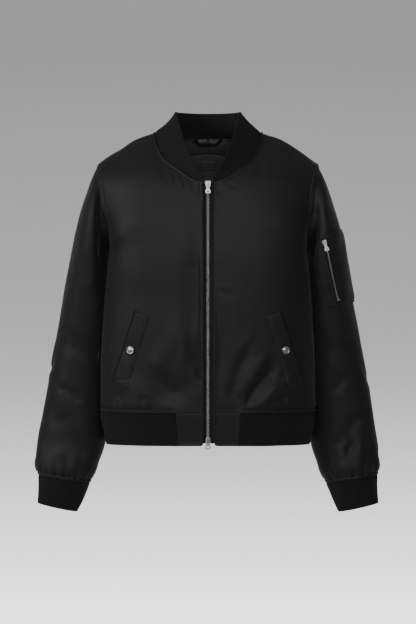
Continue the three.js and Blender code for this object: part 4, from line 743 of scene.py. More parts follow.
def stitch(piece, points, normals, sign=1):
    """A row of stitches along a line, each a little thread laid on the cloth."""
    settings = bpy.context.scene.jacket_sewing
    pitch, long, radius = (1000 * v for v in (settings.pitch, settings.length, settings.radius))
    total = run(points)[-1]
    if total < 2 * pitch:
        return
    at = np.arange(0.5 * pitch, total - 0.4 * pitch, pitch)
    p, n = evenly(points, at, normals)
    n = unit(n)
    ahead = evenly(points, np.minimum(at + 0.5, total)) - evenly(points, np.maximum(at - 0.5, 0))
    x = unit(ahead - n * (ahead * n).sum(-1)[:, None])
    shape, faces = stitch_shape()
    place_copies(piece, shape * (long, radius, radius * 0.7), faces, p + n * radius * 0.15, x,
                 np.cross(n, x), n, sign)


def offset_line(points, normals, distances, distance):
    """The line at a distance from the edge that a grid's columns start at, one point in each row."""
    k = (distances >= distance).argmax(1)
    r = np.nonzero((k > 0) & (distances[:, 0] < 0.8))[0]
    k = k[r]
    t = ((distance - distances[r, k - 1]) / (distances[r, k] - distances[r, k - 1]))[:, None]
    return mix(points[r, k - 1], points[r, k], t), unit(mix(normals[r, k - 1], normals[r, k], t))


# The cut pieces

FACING_U = solve(lambda u: float(front_base(u, 1.0)[0]), HEM_FACING_X, 0.0, 1.0)


def eased(points, share):
    """Points with their rows averaged over some 30 mm up and down, by a share at each point."""
    reach = np.arange(-11, 12)
    weights = np.exp(-np.square(reach / 5.5))
    padded = np.pad(points, ((11, 11), (0, 0), (0, 0)), mode="reflect", reflect_type="odd")
    rows = np.lib.stride_tricks.sliding_window_view(padded, len(reach), axis=0)
    return mix(points, rows @ (weights / weights.sum()), share[..., None])


@lru_cache(None)
def front_sheet(which):
    """One front: its smooth form, then its folds, creases, seams and unevenness as heights on it."""
    s = bpy.context.scene.jacket_cloth
    sign = 1 if which == "left" else -1
    us = np.concatenate([
        steps(52, 1, 5.5) * FACING_U,
        FACING_U + (1 - FACING_U) * steps(245, 1, 3.9)[1:],
    ])
    vs = np.concatenate([
        along_column(front_base, 0.3, 0, 1, steps(67, 1, 6)),
        along_column(front_base, 0.3, 1, FRONT_TOP, steps(590, 1, 3.7))[1:],
    ])
    smooth = front_base(us[None, :], vs[:, None])
    smooth = eased(smooth, (ramp(us * 8) * ramp((1 - us) * 7))[None, :]
                   * (ramp((vs - 1.2) / 0.8) * ramp((FRONT_TOP - vs) / 1.6))[:, None])
    reach = ramp(1 - (smooth[..., 0] - CENTRE_EDGE_X) / 24) * ramp((8 - vs) / 0.6)[:, None]
    smooth[..., 0] -= OVERLAP[which] * reach
    sheet = Sheet(vs, us, smooth, 1)
    hem_row = int(np.argmin(np.abs(vs - 1)))
    arm_row = int(np.argmin(np.abs(vs - ARMPIT_ROW)))
    facing = int(np.argmin(np.abs(us - FACING_U)))
    neck = vs >= 8
    p = sheet.points
    lines = dict(
        zip=p[~neck, 0], neck=p[neck, 0], shoulder=p[-1], arm=p[arm_row:, -1], side=p[:arm_row + 1, -1],
        hem=p[hem_row, facing:], cut=p[:hem_row + 1, facing], bottom=p[0, :facing + 1])
    lines = {k: seam_line(v) for k, v in lines.items()}
    near = {k: near_line(p, v) for k, v in lines.items()}
    d = {k: v[0] for k, v in near.items()}
    along = {k: v[1] for k, v in near.items()}
    rim = np.minimum.reduce(list(d.values()))
    free_rim = np.minimum(np.minimum(d["zip"], d["bottom"]), rim + SEAM_DEPTH)
    flat = vs[:, None] + 0 * us[None, :]
    across = us[None, :] + 0 * vs[:, None]
    calm = ramp(np.minimum(across, 1 - across) * 8) * ramp((flat - 1) * 2)
    low = ramp((-p[..., 2] - 300) / 100)
    height = fold_height(FRONT_FOLDS[which], p[..., 0], p[..., 2]) * calm * (0.35 + 0.65 * low)
    inside = 1 - bell(rim / 7)
    free = ramp((1 - across) * 7) * 0.75 + 0.25
    for i, (h, w, pixels) in enumerate(SEEN_CREASES["front_" + which]):
        height += s.fold_depth * inside * crease(p, seen_line(sheet, pixels, sign), h, w, i + sign)
    seen = p * (sign, 1, 1)
    wavy = s.wave_height * 1000 * inside * free * (0.15 + 0.85 * low)
    height += wavy * waves(seen, 11 + sign, 110, 1.0) + 0.22 * wavy * waves(seen, 21 + sign, 34, 1.0)
    small = s.pucker_height * 1000
    upper = ramp((flat - 1) * 30)
    height += roll(d["zip"], 5.2, 0.8, 0.9) + roll(d["neck"], 5.4, 2.0, 1.7) * upper
    height += puckers(d["neck"], along["neck"], small, 31 + sign, 14) * upper
    height += puckers(d["zip"], along["zip"], 0.8 * small, 41 + sign, 12)
    height += roll(d["shoulder"], 3.0, 0.4) - 0.5 * bell(d["shoulder"] / 1.2)
    height += puckers(d["shoulder"], along["shoulder"], 0.7 * small, 51 + sign, 9)
    height += roll(d["arm"], 4.6, 0.9, 0.6) + puckers(d["arm"], along["arm"], 0.9 * small, 61 + sign, 12)
    height += puckers(d["side"], along["side"], 0.5 * small, 71 + sign, 10) - 0.5 * bell(d["side"] / 1.5)
    hem = d["hem"] * np.where(flat >= 1, 1, 0) + np.where(flat >= 1, 0, 60)
    over_rib = ramp((across - FACING_U) / 0.04)
    blouse = 1.8 * bell((hem - 17) / 11) * (0.8 + 0.2 * np.sin(along["hem"] / 23))
    height += over_rib * (0.3 + 0.7 * ramp((1 - across) * 14)) * (
        2.0 * bell((hem - 2.6) / 2.2) - 2.6 * bell((hem - 6.6) / 1.5) + blouse)
    height += over_rib * puckers(hem, along["hem"], 2.2 * small, 81 + sign, 20)
    low = np.where(flat <= 1.0, 1, 0) * ramp((FACING_U - across) * 40)
    height += low * (roll(d["cut"], 5.0, 0.5, 0.5) + roll(d["bottom"], 6.0, 0.4, 0.4))
    height += 0.6 * bell((flat - 1) / 0.02) * -1 * ramp((FACING_U - across) * 30)
    sheet.lift(height)
    p = sheet.points
    dx = np.clip(p[..., 0] - CENTRE_EDGE_X + OVERLAP[which], 0, 7)
    above = p[..., 2] - p[0, facing // 2, 2]
    corner = 7 - np.sqrt(np.maximum(0, 49 - (7 - dx) ** 2))
    p[..., 2] += corner * ramp(1 - above / 16) ** 1.5
    sheet.turn_out()
    sheet.rim, sheet.d = free_rim, d
    sheet.used = (vs[:-1, None] >= 1 - 1e-6) | (us[None, :-1] < FACING_U - 1e-6)
    return sheet


@lru_cache(None)
def back_sheet(which):
    """Half of the back, from its middle to the side seam and over the shoulder."""
    s = bpy.context.scene.jacket_cloth
    sign = 1 if which == "left" else -1
    us = steps(300, 1, 4.2)
    vs = along_column(back_base, 0.5, 1, BACK_TOP, steps(690, 1, 4.2))
    vs[np.argmin(np.abs(vs - NAPE_ROW))] = NAPE_ROW
    sheet = Sheet(vs, us, back_base(us[None, :], vs[:, None]), -1)
    middle = vs <= NAPE_ROW

    def straighten():
        sheet.normals[middle, 0, 0] = 0
        sheet.normals[:, 0] = unit(sheet.normals[:, 0])
    straighten()
    arm_row = int(np.argmin(np.abs(vs - ARMPIT_ROW)))
    p = sheet.points
    lines = dict(neck=p[~middle, 0], shoulder=p[-1], arm=p[arm_row:, -1], side=p[:arm_row + 1, -1], hem=p[0])
    near = {k: near_line(p, seam_line(v)) for k, v in lines.items()}
    d = {k: v[0] for k, v in near.items()}
    along = {k: v[1] for k, v in near.items()}
    rim = np.minimum.reduce(list(d.values()))
    inside = 1 - bell(rim / 7)
    apart = 1 - bell(p[..., 0] / 22)
    across = us[None, :] + 0 * vs[:, None]
    free = ramp((1 - across) * 7) * 0.75 + 0.25
    height = 0 * across
    for i, (h, w, places) in enumerate(REAR_CREASES[which]):
        height += s.fold_depth * inside * apart * crease(p, rear_line(sheet, places), h, w, i + sign)
    seen = p * (sign, 1, 1)
    height += s.wave_height * 1000 * inside * free * waves(seen, 12, 115, 1.1)
    height += s.wave_height * 1000 * 0.22 * inside * free * waves(seen, 22, 36, 1.0)
    small = s.pucker_height * 1000
    height += roll(d["neck"], 5.4, 1.8, 1.5) + puckers(d["neck"], along["neck"], small, 33 + sign, 12) * apart
    height += roll(d["shoulder"], 6.2, 1.1, 0.9) - 0.4 * bell(d["shoulder"] / 1.1)
    height += puckers(d["shoulder"], along["shoulder"], 0.8 * small, 53 + sign, 9)
    height += roll(d["arm"], 4.6, 0.9, 0.6) + puckers(d["arm"], along["arm"], 0.9 * small, 63 + sign, 12)
    height += puckers(d["side"], along["side"], 0.5 * small, 73 + sign, 10) - 0.5 * bell(d["side"] / 1.5)
    hem = d["hem"]
    height += (2.0 * bell((hem - 2.6) / 2.2) - 2.6 * bell((hem - 6.6) / 1.5)
               + 1.8 * bell((hem - 17) / 11) * (0.8 + 0.2 * np.cos(p[..., 0] / 23)))
    height += puckers(hem, along["hem"], 2.2 * small, 83 + sign, 20) * apart
    sheet.lift(height)
    straighten()
    sheet.rim, sheet.d, sheet.middle = rim + SEAM_DEPTH, d, middle
    return sheet


@lru_cache(None)
def sleeve_sheet(which):
    """One sleeve: its tube with the large folds, the listed creases and the gathers above the cuff."""
    s = bpy.context.scene.jacket_cloth
    sign = 1 if which == "left" else -1
    angles = np.arange(208) * (360 / 208)
    levels = along_column(sleeve_base, 100.0, 0, 8, steps(560, 1, 3.6))
    sheet = Sheet(levels, angles, sleeve_base(levels[:, None], angles[None, :]), -1, closed=True)
    p = sheet.points
    near = {"arm": near_line(p, np.append(seam_line(p[0]), p[0, :1], 0)),
            "cuff": near_line(p, np.append(seam_line(p[-1]), p[-1, :1], 0))}
    d = {k: v[0] for k, v in near.items()}
    along = {k: v[1] for k, v in near.items()}
    rim = np.minimum(d["arm"], d["cuff"])
    level = levels[:, None] + 0 * angles[None, :]
    turn = np.radians(angles[None, :] + 0 * level)
    facing = np.sqrt(np.maximum(0, np.sin(turn)))
    calm = ramp(level * 4) * ramp((7.4 - level) * 2)
    height = fold_height(SLEEVE_FOLDS, p[..., 0], p[..., 2]) * calm * facing
    inside = 1 - bell(rim / 7)
    free = np.maximum(ramp((1 - np.cos(turn)) * 2.2 - 0.3), 0.25 * ramp(level - 1.2))
    for i, (h, w, pixels) in enumerate(SEEN_CREASES["sleeve_" + which]):
        height += s.fold_depth * inside * free * crease(p, seen_line(sheet, pixels, sign), h, w, i + sign)
    for i, (h, w, places) in enumerate(SLEEVE_CREASES[which]):
        at = curve_through(places)
        height += s.fold_depth * inside * free * crease(p, sheet.at(at[:, 0], at[:, 1])[0], h, w, i - sign)
    seen = p * (sign, 1, 1)
    height += s.wave_height * 1000 * inside * free * waves(seen, 13 + sign, 100, 1.0)
    height += s.wave_height * 1000 * 0.25 * inside * free * waves(seen, 23 + sign, 32, 1.0)
    small = s.pucker_height * 1000
    height += roll(d["arm"], 4.0, 0.5) + puckers(d["arm"], along["arm"], 1.6 * small, 64 + sign, 16) * free
    c = d["cuff"]
    around = run(np.append(p[-1], p[-1, :1], 0))[-1] / 360
    for angle, depth, width, reach in GATHERS[which]:
        off = (np.degrees(turn) - angle + 180) % 360 - 180
        drift = 0.10 * c * np.sin(angle)
        groove = bell((off * around + drift) / (0.6 * width * (1 + 1.6 * c / reach)))
        fade = np.exp(-np.maximum(c - 7, 0) / (0.7 * reach)) * ramp((c - 2.5) / 4)
        height += -s.gather_depth * depth * groove * fade
    height += 0.3 * np.sin(2 * np.pi * along["cuff"] / 4.3) * bell((c - 3) / 3)
    height += 0.5 * bell((c - 2.4) / 2.2) - 1.2 * bell((c - 6) / 1.4) + 2.3 * bell((c - 22) / 15)
    height += puckers(c, along["cuff"], 1.2 * small, 84 + sign, 14) * ramp((c - 4) / 4)
    sheet.lift(height)
    sheet.points[..., 0] -= 5.2 * bell((level - 0.28) / 0.5) * ramp((np.cos(turn) - 0.1) * 2.5)
    p = clear_of_body(sheet.points)
    sheet.points = np.where((level > 0.05)[..., None], p, sheet.points)
    sheet.points[0] -= 0.9 * unit(sheet.points[1] - sheet.points[0])
    sheet.turn_out()
    sheet.rim, sheet.d = rim + SEAM_DEPTH, d
    return sheet


def rib_profile(t, ribs):
    """The rise of a rib across its width: a rounded top between narrow dips, for a share t of the way."""
    x = np.abs(2 * (t * ribs % 1) - 1)
    return 1 - x**3.2


def ribbed(surface, t, w, ribs, rise, facing, closed=False, taper=None):
    """A knitted band: the smooth surface lifted by its ribs, less at its seam and its edge."""
    points = surface(t[None, :], w[:, None])
    sheet = Sheet(w, t * 360 if closed else t, points, facing, closed)
    smooth = sheet.normals.copy()
    height = rise * rib_profile(t, ribs)[None, :] + 0 * w[:, None]
    if taper is not None:
        height = height * taper(w)[:, None]
    sheet.points = points + smooth * height[..., None]
    sheet.turn_out()
    sheet.smooth = smooth
    return sheet


def band_steps(total, middle):
    fine = np.array([0, 0.35, 0.9, 1.6, 2.6])
    inner = np.linspace(fine[-1], total - fine[-1], max(2, int(total / middle)))[1:-1]
    return np.concatenate([fine, inner, (total - fine)[::-1]]) / total


def hem_ring(v, count):
    """One turn of the hem from a facing round the back to the other, at even steps, at a level v."""
    gap = FACING_U - 0.0105
    half = np.concatenate([front_base(np.linspace(gap, 1, 80), v), back_base(np.linspace(1, 0, 80), v)[1:]])
    other = half[:-1][::-1] * (-1, 1, 1)
    return evenly(np.concatenate([half, other]), count)


# Materials

class Value:
    """A socket's value: the usual operators add a Math node, also with the number on the left."""

    def __init__(self, paint, socket):
        self.paint, self.socket = paint, socket

    def _math(self, operation, *values):
        return self.paint.node("ShaderNodeMath", {"operation": operation}, *values)

    def __add__(self, other):
        return self._math("ADD", self, other)

    def __radd__(self, other):
        return self._math("ADD", other, self)

    def __sub__(self, other):
        return self._math("SUBTRACT", self, other)

    def __rsub__(self, other):
        return self._math("SUBTRACT", other, self)

    def __mul__(self, other):
        return self._math("MULTIPLY", self, other)

    def __rmul__(self, other):
        return self._math("MULTIPLY", other, self)

    def __abs__(self):
        return self._math("ABSOLUTE", self)

    def sine(self):
        return self._math("SINE", self)

    def fraction(self):
        return self._math("FRACT", self)

    def clamped(self, low, high):
        return self.paint.node("ShaderNodeClamp", {}, self, low, high)


class Paint:
    """A material's node tree with its Principled shader."""

    def __init__(self, name, **constants):
        self.material = bpy.data.materials.new(name)
        self.material.use_nodes = True
        self.tree = self.material.node_tree
        self.shader = self.tree.nodes["Principled BSDF"]
        for socket, value in constants.items():
            self.shader.inputs[socket.replace("_", " ")].default_value = value

    def node(self, kind, settings, *values, out=0, at=None, **named):
        """Any node: its type, its settings, and the values or links of its sockets."""
        made = self.tree.nodes.new(kind)
        for key, value in settings.items():
            setattr(made, key, value)
        for key, value in [*enumerate(values), *(at or {}).items(), *named.items()]:
            socket = made.inputs[key]
            if isinstance(value, Value):
                self.tree.links.new(value.socket, socket)
            else:
                socket.default_value = value
        return Value(self, made.outputs[out])

    def link(self, value, socket):
        self.tree.links.new(value.socket, self.shader.inputs[socket])

    def cloth_places(self):
        """Where a point lies on the cloth, in metres across and along."""
        uv = self.node("ShaderNodeUVMap", {"uv_map": "cloth"})
        return self.part(uv, 0), self.part(uv, 1)

    def part(self, vector, which):
        return self.node("ShaderNodeSeparateXYZ", {}, vector, out=which)

    def noise(self, scale, detail=2.0, stretch=(1, 1, 1), roughness=0.5):
        where = self.node("ShaderNodeTexCoord", {}, out=3)
        where = self.node("ShaderNodeMapping", {}, where, Scale=stretch)
        return self.node("ShaderNodeTexNoise", {}, where, Scale=scale, Detail=detail, Roughness=roughness)

    def between(self, factor, dark, light):
        """A colour between two, by a factor."""
        return self.node("ShaderNodeMix", {"data_type": "RGBA"}, factor, out=2,
                         at={6: (*dark, 1), 7: (*light, 1)})

    def bump(self, height, distance, strength=1.0, under=None):
        made = self.node("ShaderNodeBump", {}, strength, distance, Height=height)
        if under is not None:
            self.tree.links.new(under.socket, made.socket.node.inputs["Normal"])
        return made


def shades(colour, spread):
    return [c * (1 - spread) for c in colour], [c * (1 + spread) for c in colour]


def satin_paint():
    """Black satin: long floats of thread on a fine twill, slubs along them, and a soft uneven gloss."""
    c = bpy.context.scene.jacket_colours
    paint = Paint("satin", Specular_IOR_Level=0.34, Sheen_Weight=0.08, Sheen_Roughness=0.45)
    across, along = paint.cloth_places()
    pitch = 2 * np.pi / 0.00042
    twill = (across * pitch + along * (pitch / 3)).sine()
    floats = (along * (pitch / 2.4) + across * (pitch / 7)).sine()
    slub = paint.noise(260, 2, (1.0, 1.0, 0.16))
    cloud = paint.noise(9, 3)
    dark, light = shades(c.satin, 0.16)
    paint.link(paint.between(slub * 0.6 + cloud * 0.4, dark, light), "Base Color")
    paint.link((cloud - 0.5) * 0.1 + (slub - 0.5) * 0.06 + c.satin_roughness, "Roughness")
    weave = paint.bump(twill * 0.5 + floats * 0.35 + slub, 0.00003, 0.5)
    paint.link(paint.bump(paint.noise(55, 3), 0.00022, 0.5, weave), "Normal")
    return paint.material


def knit_paint(name="rib_knit", painted_light_and_shade=1.0):
    """Rib knit: rows of V-shaped stitches along each rib, with a little fuzz and no gloss."""
    c = bpy.context.scene.jacket_colours
    paint = Paint(name, Roughness=0.9, Sheen_Weight=0.04, Sheen_Roughness=0.6, Specular_IOR_Level=0.2)
    across, along = paint.cloth_places()
    column = 0.00125
    slope = abs((across * (1 / column)).fraction() - 0.5)
    rows = ((along * (1 / 0.0011) + slope * 1.1) * (2 * np.pi)).sine()
    wale = (across * (2 * np.pi / column)).sine()
    fuzz = paint.noise(900, 2)
    cloud = paint.noise(14, 2)
    # The factor scales the knit's own colour: painted light on the collar's copies, painted shade on the
    # pocket's copy
    dark, light = shades([v * painted_light_and_shade for v in c.knit], 0.25)
    paint.link(paint.between((rows * 0.18 + 0.5) * 0.6 + cloud * 0.4, dark, light), "Base Color")
    paint.link(paint.bump(rows * 0.5 + wale * 0.35 + fuzz * 0.6, 0.00016, 0.7), "Normal")
    return paint.material


def lining_paint():
    """Lining: a fine plain weave with a slight gloss."""
    c = bpy.context.scene.jacket_colours
    paint = Paint("lining", Roughness=0.5, Sheen_Weight=0.05)
    across, along = paint.cloth_places()
    pitch = 2 * np.pi / 0.0005
    weave = (across * pitch).sine() * (along * pitch).sine()
    cloud = paint.noise(30, 3)
    dark, light = shades(c.lining, 0.15)
    paint.link(paint.between(cloud, dark, light), "Base Color")
    paint.link((cloud - 0.5) * 0.2 + 0.5, "Roughness")
    soft = paint.bump(weave, 0.00003, 0.5)
    paint.link(paint.bump(paint.noise(70, 3), 0.0006, 0.6, soft), "Normal")
    return paint.material


def tape_paint():
    """Zip tape: a herringbone weave, quite matt."""
    c = bpy.context.scene.jacket_colours
    paint = Paint("zip_tape", Roughness=0.8)
    across, along = paint.cloth_places()
    zigzag = abs((across * (1 / 0.0024)).fraction() - 0.5)
    weave = ((along * (1 / 0.0009) + zigzag * 2.4) * (2 * np.pi)).sine()
    dark, light = shades(c.tape, 0.3)
    paint.link(paint.between(weave * 0.5 + 0.5, dark, light), "Base Color")
    paint.link(paint.bump(weave, 0.0001, 0.8), "Normal")
    return paint.material


def thread_paint():
    """Sewing thread: twisted, with a slight gloss."""
    c = bpy.context.scene.jacket_colours
    paint = Paint("thread", Roughness=0.5)
    dark, light = shades(c.thread, 0.3)
    paint.link(paint.between(paint.noise(1500, 1), dark, light), "Base Color")
    return paint.material


def steel_paint():
    """Polished plated metal, with faint scratches and slightly dulled by handling."""
    c = bpy.context.scene.jacket_colours
    paint = Paint("steel", Metallic=1.0)
    dark, light = shades(c.metal, 0.12)
    wear = paint.noise(160, 4)
    scratch = paint.noise(700, 2, (1, 1, 0.08))
    paint.link(paint.between(wear, dark, light), "Base Color")
    paint.link((wear * 0.2 + scratch * 0.12 + 0.16).clamped(0.18, 0.6), "Roughness")
    paint.link(paint.bump(scratch + wear * 0.5, 0.00004, 0.35), "Normal")
    return paint.material


def brushed_paint():
    """The snaps and the zips' teeth: the same metal, with uneven colour and roughness."""
    c = bpy.context.scene.jacket_colours
    paint = Paint("snap_metal", Metallic=1.0)
    dark, light = shades(c.metal, 0.2)
    wear = paint.noise(220, 3)
    paint.link(paint.between(wear, dark, light), "Base Color")
    paint.link((wear * 0.3 + 0.16).clamped(0.15, 0.6), "Roughness")
    return paint.material


PAINTS = dict(satin=satin_paint, rib_knit=knit_paint, lining=lining_paint, zip_tape=tape_paint,
              thread=thread_paint, steel=steel_paint, snap_metal=brushed_paint)


@lru_cache(None)
def material(name):
    return PAINTS[name]()


def pale_paint():
    """The studio's paper: plain and matt, with painted shade that makes it darker towards its top, and a
    painted glow of its own, brightest low down and far back.
    """
    c = bpy.context.scene.jacket_studio
    paint = Paint("pale_paper", Roughness=1.0, Specular_IOR_Level=0.1, Emission_Strength=1.0)
    where = paint.node("ShaderNodeTexCoord", {}, out=3)
    height = paint.part(where, 2)
    # Painted shade: from the floor's colour low down to the darker backdrop colour at the top
    rise = ((height + 1.6) * (1 / 2.5)).clamped(0.0, 1.0)
    # Painted glow: the paper's emission, brightest low down and far back
    low = ((-0.4 - height) * (1 / 1.4)).clamped(0.0, 1.0)
    paint.link(paint.between(rise, c.floor, c.backdrop), "Base Color")
    behind = ((paint.part(where, 1) - 2.6) * (1 / 1.6)).clamped(0.0, 1.0)
    painted_glow_dim, painted_glow_bright = [v * 0.5 for v in c.backdrop], [v * 2.35 for v in c.floor]
    paint.link(paint.between(low * low * (behind * 0.7 + 0.3), painted_glow_dim, painted_glow_bright), "Emission Color")
    return paint.material


PAINTS["pale_paper"] = pale_paint
# A near-black copy of the rib knit, laid in the pockets' openings as painted shade
PAINTS["pocketing"] = lambda: knit_paint("pocketing", 0.15)
# Lighter copies of the same rib knit on the collar are painted light: 1.5 times on its face, 3.2 times on its
# inside, which the lamps hardly reach
PAINTS["knit_collar_face"] = lambda: knit_paint("knit_collar_face", 1.5)
PAINTS["knit_collar_inside"] = lambda: knit_paint("knit_collar_inside", 3.2)


# Settings

def millimetres(name, description, value):
    return FloatProperty(name=name, description=description, default=value * MM, min=0, unit="LENGTH",
                         subtype="DISTANCE", precision=5)


def share(name, description, value):
    return FloatProperty(name=name, description=description, default=value, min=0, subtype="FACTOR")


def colour(name, description, value):
    return FloatVectorProperty(name=name, description=description, default=value, size=3, min=0,
                               max=1, subtype="COLOR")


class JacketCloth(bpy.types.PropertyGroup):
    satin: millimetres("Satin", "Thickness of the shell with its lining", 2.0)
    knit: millimetres("Hem and cuff knit", "Thickness of the hem's and the cuffs' knit", 2.6)
    collar: millimetres("Collar knit", "Thickness of the collar's knit", 3.0)
    lining: millimetres("Lining", "Thickness of the lining and the facing", 0.8)
    rib_rise: millimetres("Rib rise", "How far the ribs stand up", 0.9)
    hem_ribs: IntProperty(name="Hem ribs", description="Ribs round the hem", default=222, min=20)
    collar_ribs: IntProperty(name="Collar ribs", description="Ribs round the collar", default=134, min=20)
    cuff_ribs: IntProperty(name="Cuff ribs", description="Ribs round a cuff", default=52, min=10)
    fold_depth: share("Creases", "Depth of the hand-placed creases", 1.3)
    gather_depth: share("Gathers", "Depth of the gathers above the cuffs", 1.0)
    wave_height: millimetres("Waves", "Height of the cloth's gentle unevenness", 0.9)
    pucker_height: millimetres("Puckers", "Height of the puckers along the seams", 0.32)


class JacketSewing(bpy.types.PropertyGroup):
    pitch: millimetres("Pitch", "From one stitch to the next", 3.3)
    length: millimetres("Length", "Length of a stitch", 2.4)
    radius: millimetres("Radius", "Radius of the thread", 0.3)
    tooth_pitch: millimetres("Tooth pitch", "From one tooth of the front zip to the next on its side", 2.9)
    arm_tooth_pitch: millimetres("Arm tooth pitch", "The same on the sleeve's zip", 2.2)


class JacketColours(bpy.types.PropertyGroup):
    satin: colour("Satin", "Colour of the shell", (0.0105, 0.0105, 0.0118))
    satin_roughness: share("Satin roughness", "How far the satin spreads a highlight", 0.57)
    knit: colour("Knit", "Colour of the ribs", (0.008, 0.008, 0.0087))
    lining: colour("Lining", "Colour of the lining", (0.034, 0.034, 0.037))
    tape: colour("Tape", "Colour of the zips' tapes", (0.006, 0.006, 0.0068))
    thread: colour("Thread", "Colour of the sewing thread", (0.032, 0.032, 0.034))
    metal: colour("Metal", "Colour of the zips and snaps", (0.7, 0.69, 0.67))


class JacketStudio(bpy.types.PropertyGroup):
    floor: colour("Floor", "Colour of the floor", (0.80, 0.80, 0.80))
    # The same paper as the floor, darker at the top of the sweep as painted shade
    backdrop: colour("Backdrop", "Colour of the backdrop's top", (0.335, 0.328, 0.328))
    key: FloatProperty(name="Key light", description="Power of the large light", default=50, min=0)
    front: FloatProperty(name="Front light", description="Power of the light over the camera", default=40,
                         min=0)
    fill: FloatProperty(name="Fill light", description="Power of the light opposite", default=0.15, min=0)
    top: FloatProperty(name="Top light", description="Power of the light above", default=3, min=0)
    back: FloatProperty(name="Backdrop light", description="Power of the backdrop's light", default=30, min=0)
    sky: FloatProperty(name="Surround", description="Brightness all round", default=0.13, min=0)


SETTINGS = dict(jacket_cloth=JacketCloth, jacket_sewing=JacketSewing, jacket_colours=JacketColours,
                jacket_studio=JacketStudio)


# Pieces


def thickness(name):
    return getattr(bpy.context.scene.jacket_cloth, name) * 1000


class JACKET_OT_fronts(bpy.types.Operator):
    """Two satin fronts with their facing strips at the hem"""
    bl_idname = "jacket.fronts"
    bl_label = "Fronts"

    def execute(self, context):
        for which, sign in (("left", 1), ("right", -1)):
            sheet, piece = front_sheet(which), Piece()
            shell(piece, sheet, thickness("satin"), sheet.rim, sheet.used, sign)
            obj = piece.build("satin_front_" + which, ["satin", "lining"], replaces=["front_" + which])
        return {"FINISHED"}


def join(halves, middle):
    """Makes the first columns of a left and a right half the same, in the middle plane on some rows."""
    for a in ("points", "normals"):
        column = (getattr(halves[0], a)[:, 0] + getattr(halves[1], a)[:, 0]) / 2
        column[middle, 0] = 0
        for sheet in halves:
            getattr(sheet, a)[:, 0] = column if a == "points" else unit(column)


class JACKET_OT_back(bpy.types.Operator):
    """The satin back, in one piece from side seam to side seam"""
    bl_idname = "jacket.back"
    bl_label = "Back"

    def execute(self, context):
        halves = [back_sheet("left"), back_sheet("right")]
        join(halves, halves[0].middle)
        piece = Piece()
        for sheet, sign in zip(halves, (1, -1)):
            rim = (halves[0].rim + halves[1].rim) / 2
            shell(piece, sheet, thickness("satin"), rim, None, sign, open_left=sheet.middle[1:])
        obj = piece.build("satin_back", ["satin", "lining"], replaces=["back"], weld=True)
        return {"FINISHED"}


class JACKET_OT_sleeves(bpy.types.Operator):
    """Two satin sleeves, gathered into their cuffs"""
    bl_idname = "jacket.sleeves"
    bl_label = "Sleeves"

    def execute(self, context):
        for which, sign in (("left", 1), ("right", -1)):
            sheet, piece = sleeve_sheet(which), Piece()
            shell(piece, sheet, thickness("satin"), sheet.rim, None, sign)
            obj = piece.build("satin_sleeve_" + which, ["satin", "lining"], replaces=["sleeve_" + which])
        return {"FINISHED"}


def soften(sheet, seed, height, wavelength=70):
    sheet.points = sheet.points + sheet.smooth * waves(sheet.points, seed, wavelength, height)[..., None]
    sheet.turn_out()


def binding(name, inner, seam, outer, normals, sign=1):
    """A narrow tape on a seam's inner side, from a line on one piece over the seam to one on the other."""
    lines = [inner[0], mix(inner[0], seam, 0.5), seam, mix(seam, outer[0], 0.5), outer[0]]
    ways = [inner[1], unit(inner[1] + normals), normals, unit(normals + outer[1]), outer[1]]
    depth = (2.6, 2.6, 2.4, 2.6, 2.6)
    points = np.stack([p - n * h for p, n, h in zip(lines, ways, depth)])
    sheet = Sheet(np.arange(5), np.arange(len(seam)), points, 1)
    middle = (sheet.normals[2] * normals).sum(-1).mean()
    sheet.facing = 1 if middle > 0 else -1
    sheet.turn_out()
    piece = Piece()
    shell(piece, sheet, 0.5, edge_run(sheet), sign=sign, slots=(0, 0))
    return piece.build(name, ["lining"])


class JACKET_OT_bindings(bpy.types.Operator):
    """Narrow tapes on the inner sides of the armhole seams"""
    bl_idname = "jacket.bindings"
    bl_label = "Seam bindings"

    def execute(self, context):
        for which, sign in (("left", 1), ("right", -1)):
            turn = np.linspace(0, 360, 145)
            sleeve = sleeve_sheet(which)
            seam = armhole(turn)
            near = sleeve.at(0.06 + 0 * turn, turn)
            panels = (front_sheet(which), back_sheet(which))
            both = np.concatenate([sheet.points[:, -3] for sheet in panels])
            n = np.concatenate([sheet.normals[:, -3] for sheet in panels])
            pick = [int(np.argmin(length(both - p))) for p in seam]
            inner = (seam + 4.5 * unit(both[pick] - seam), n[pick])
            outer = (seam + 4.5 * unit(near[0] - seam), near[1])
            obj = binding("armhole_binding_" + which, inner, seam, outer, unit(n[pick] + near[1]), sign)
        return {"FINISHED"}


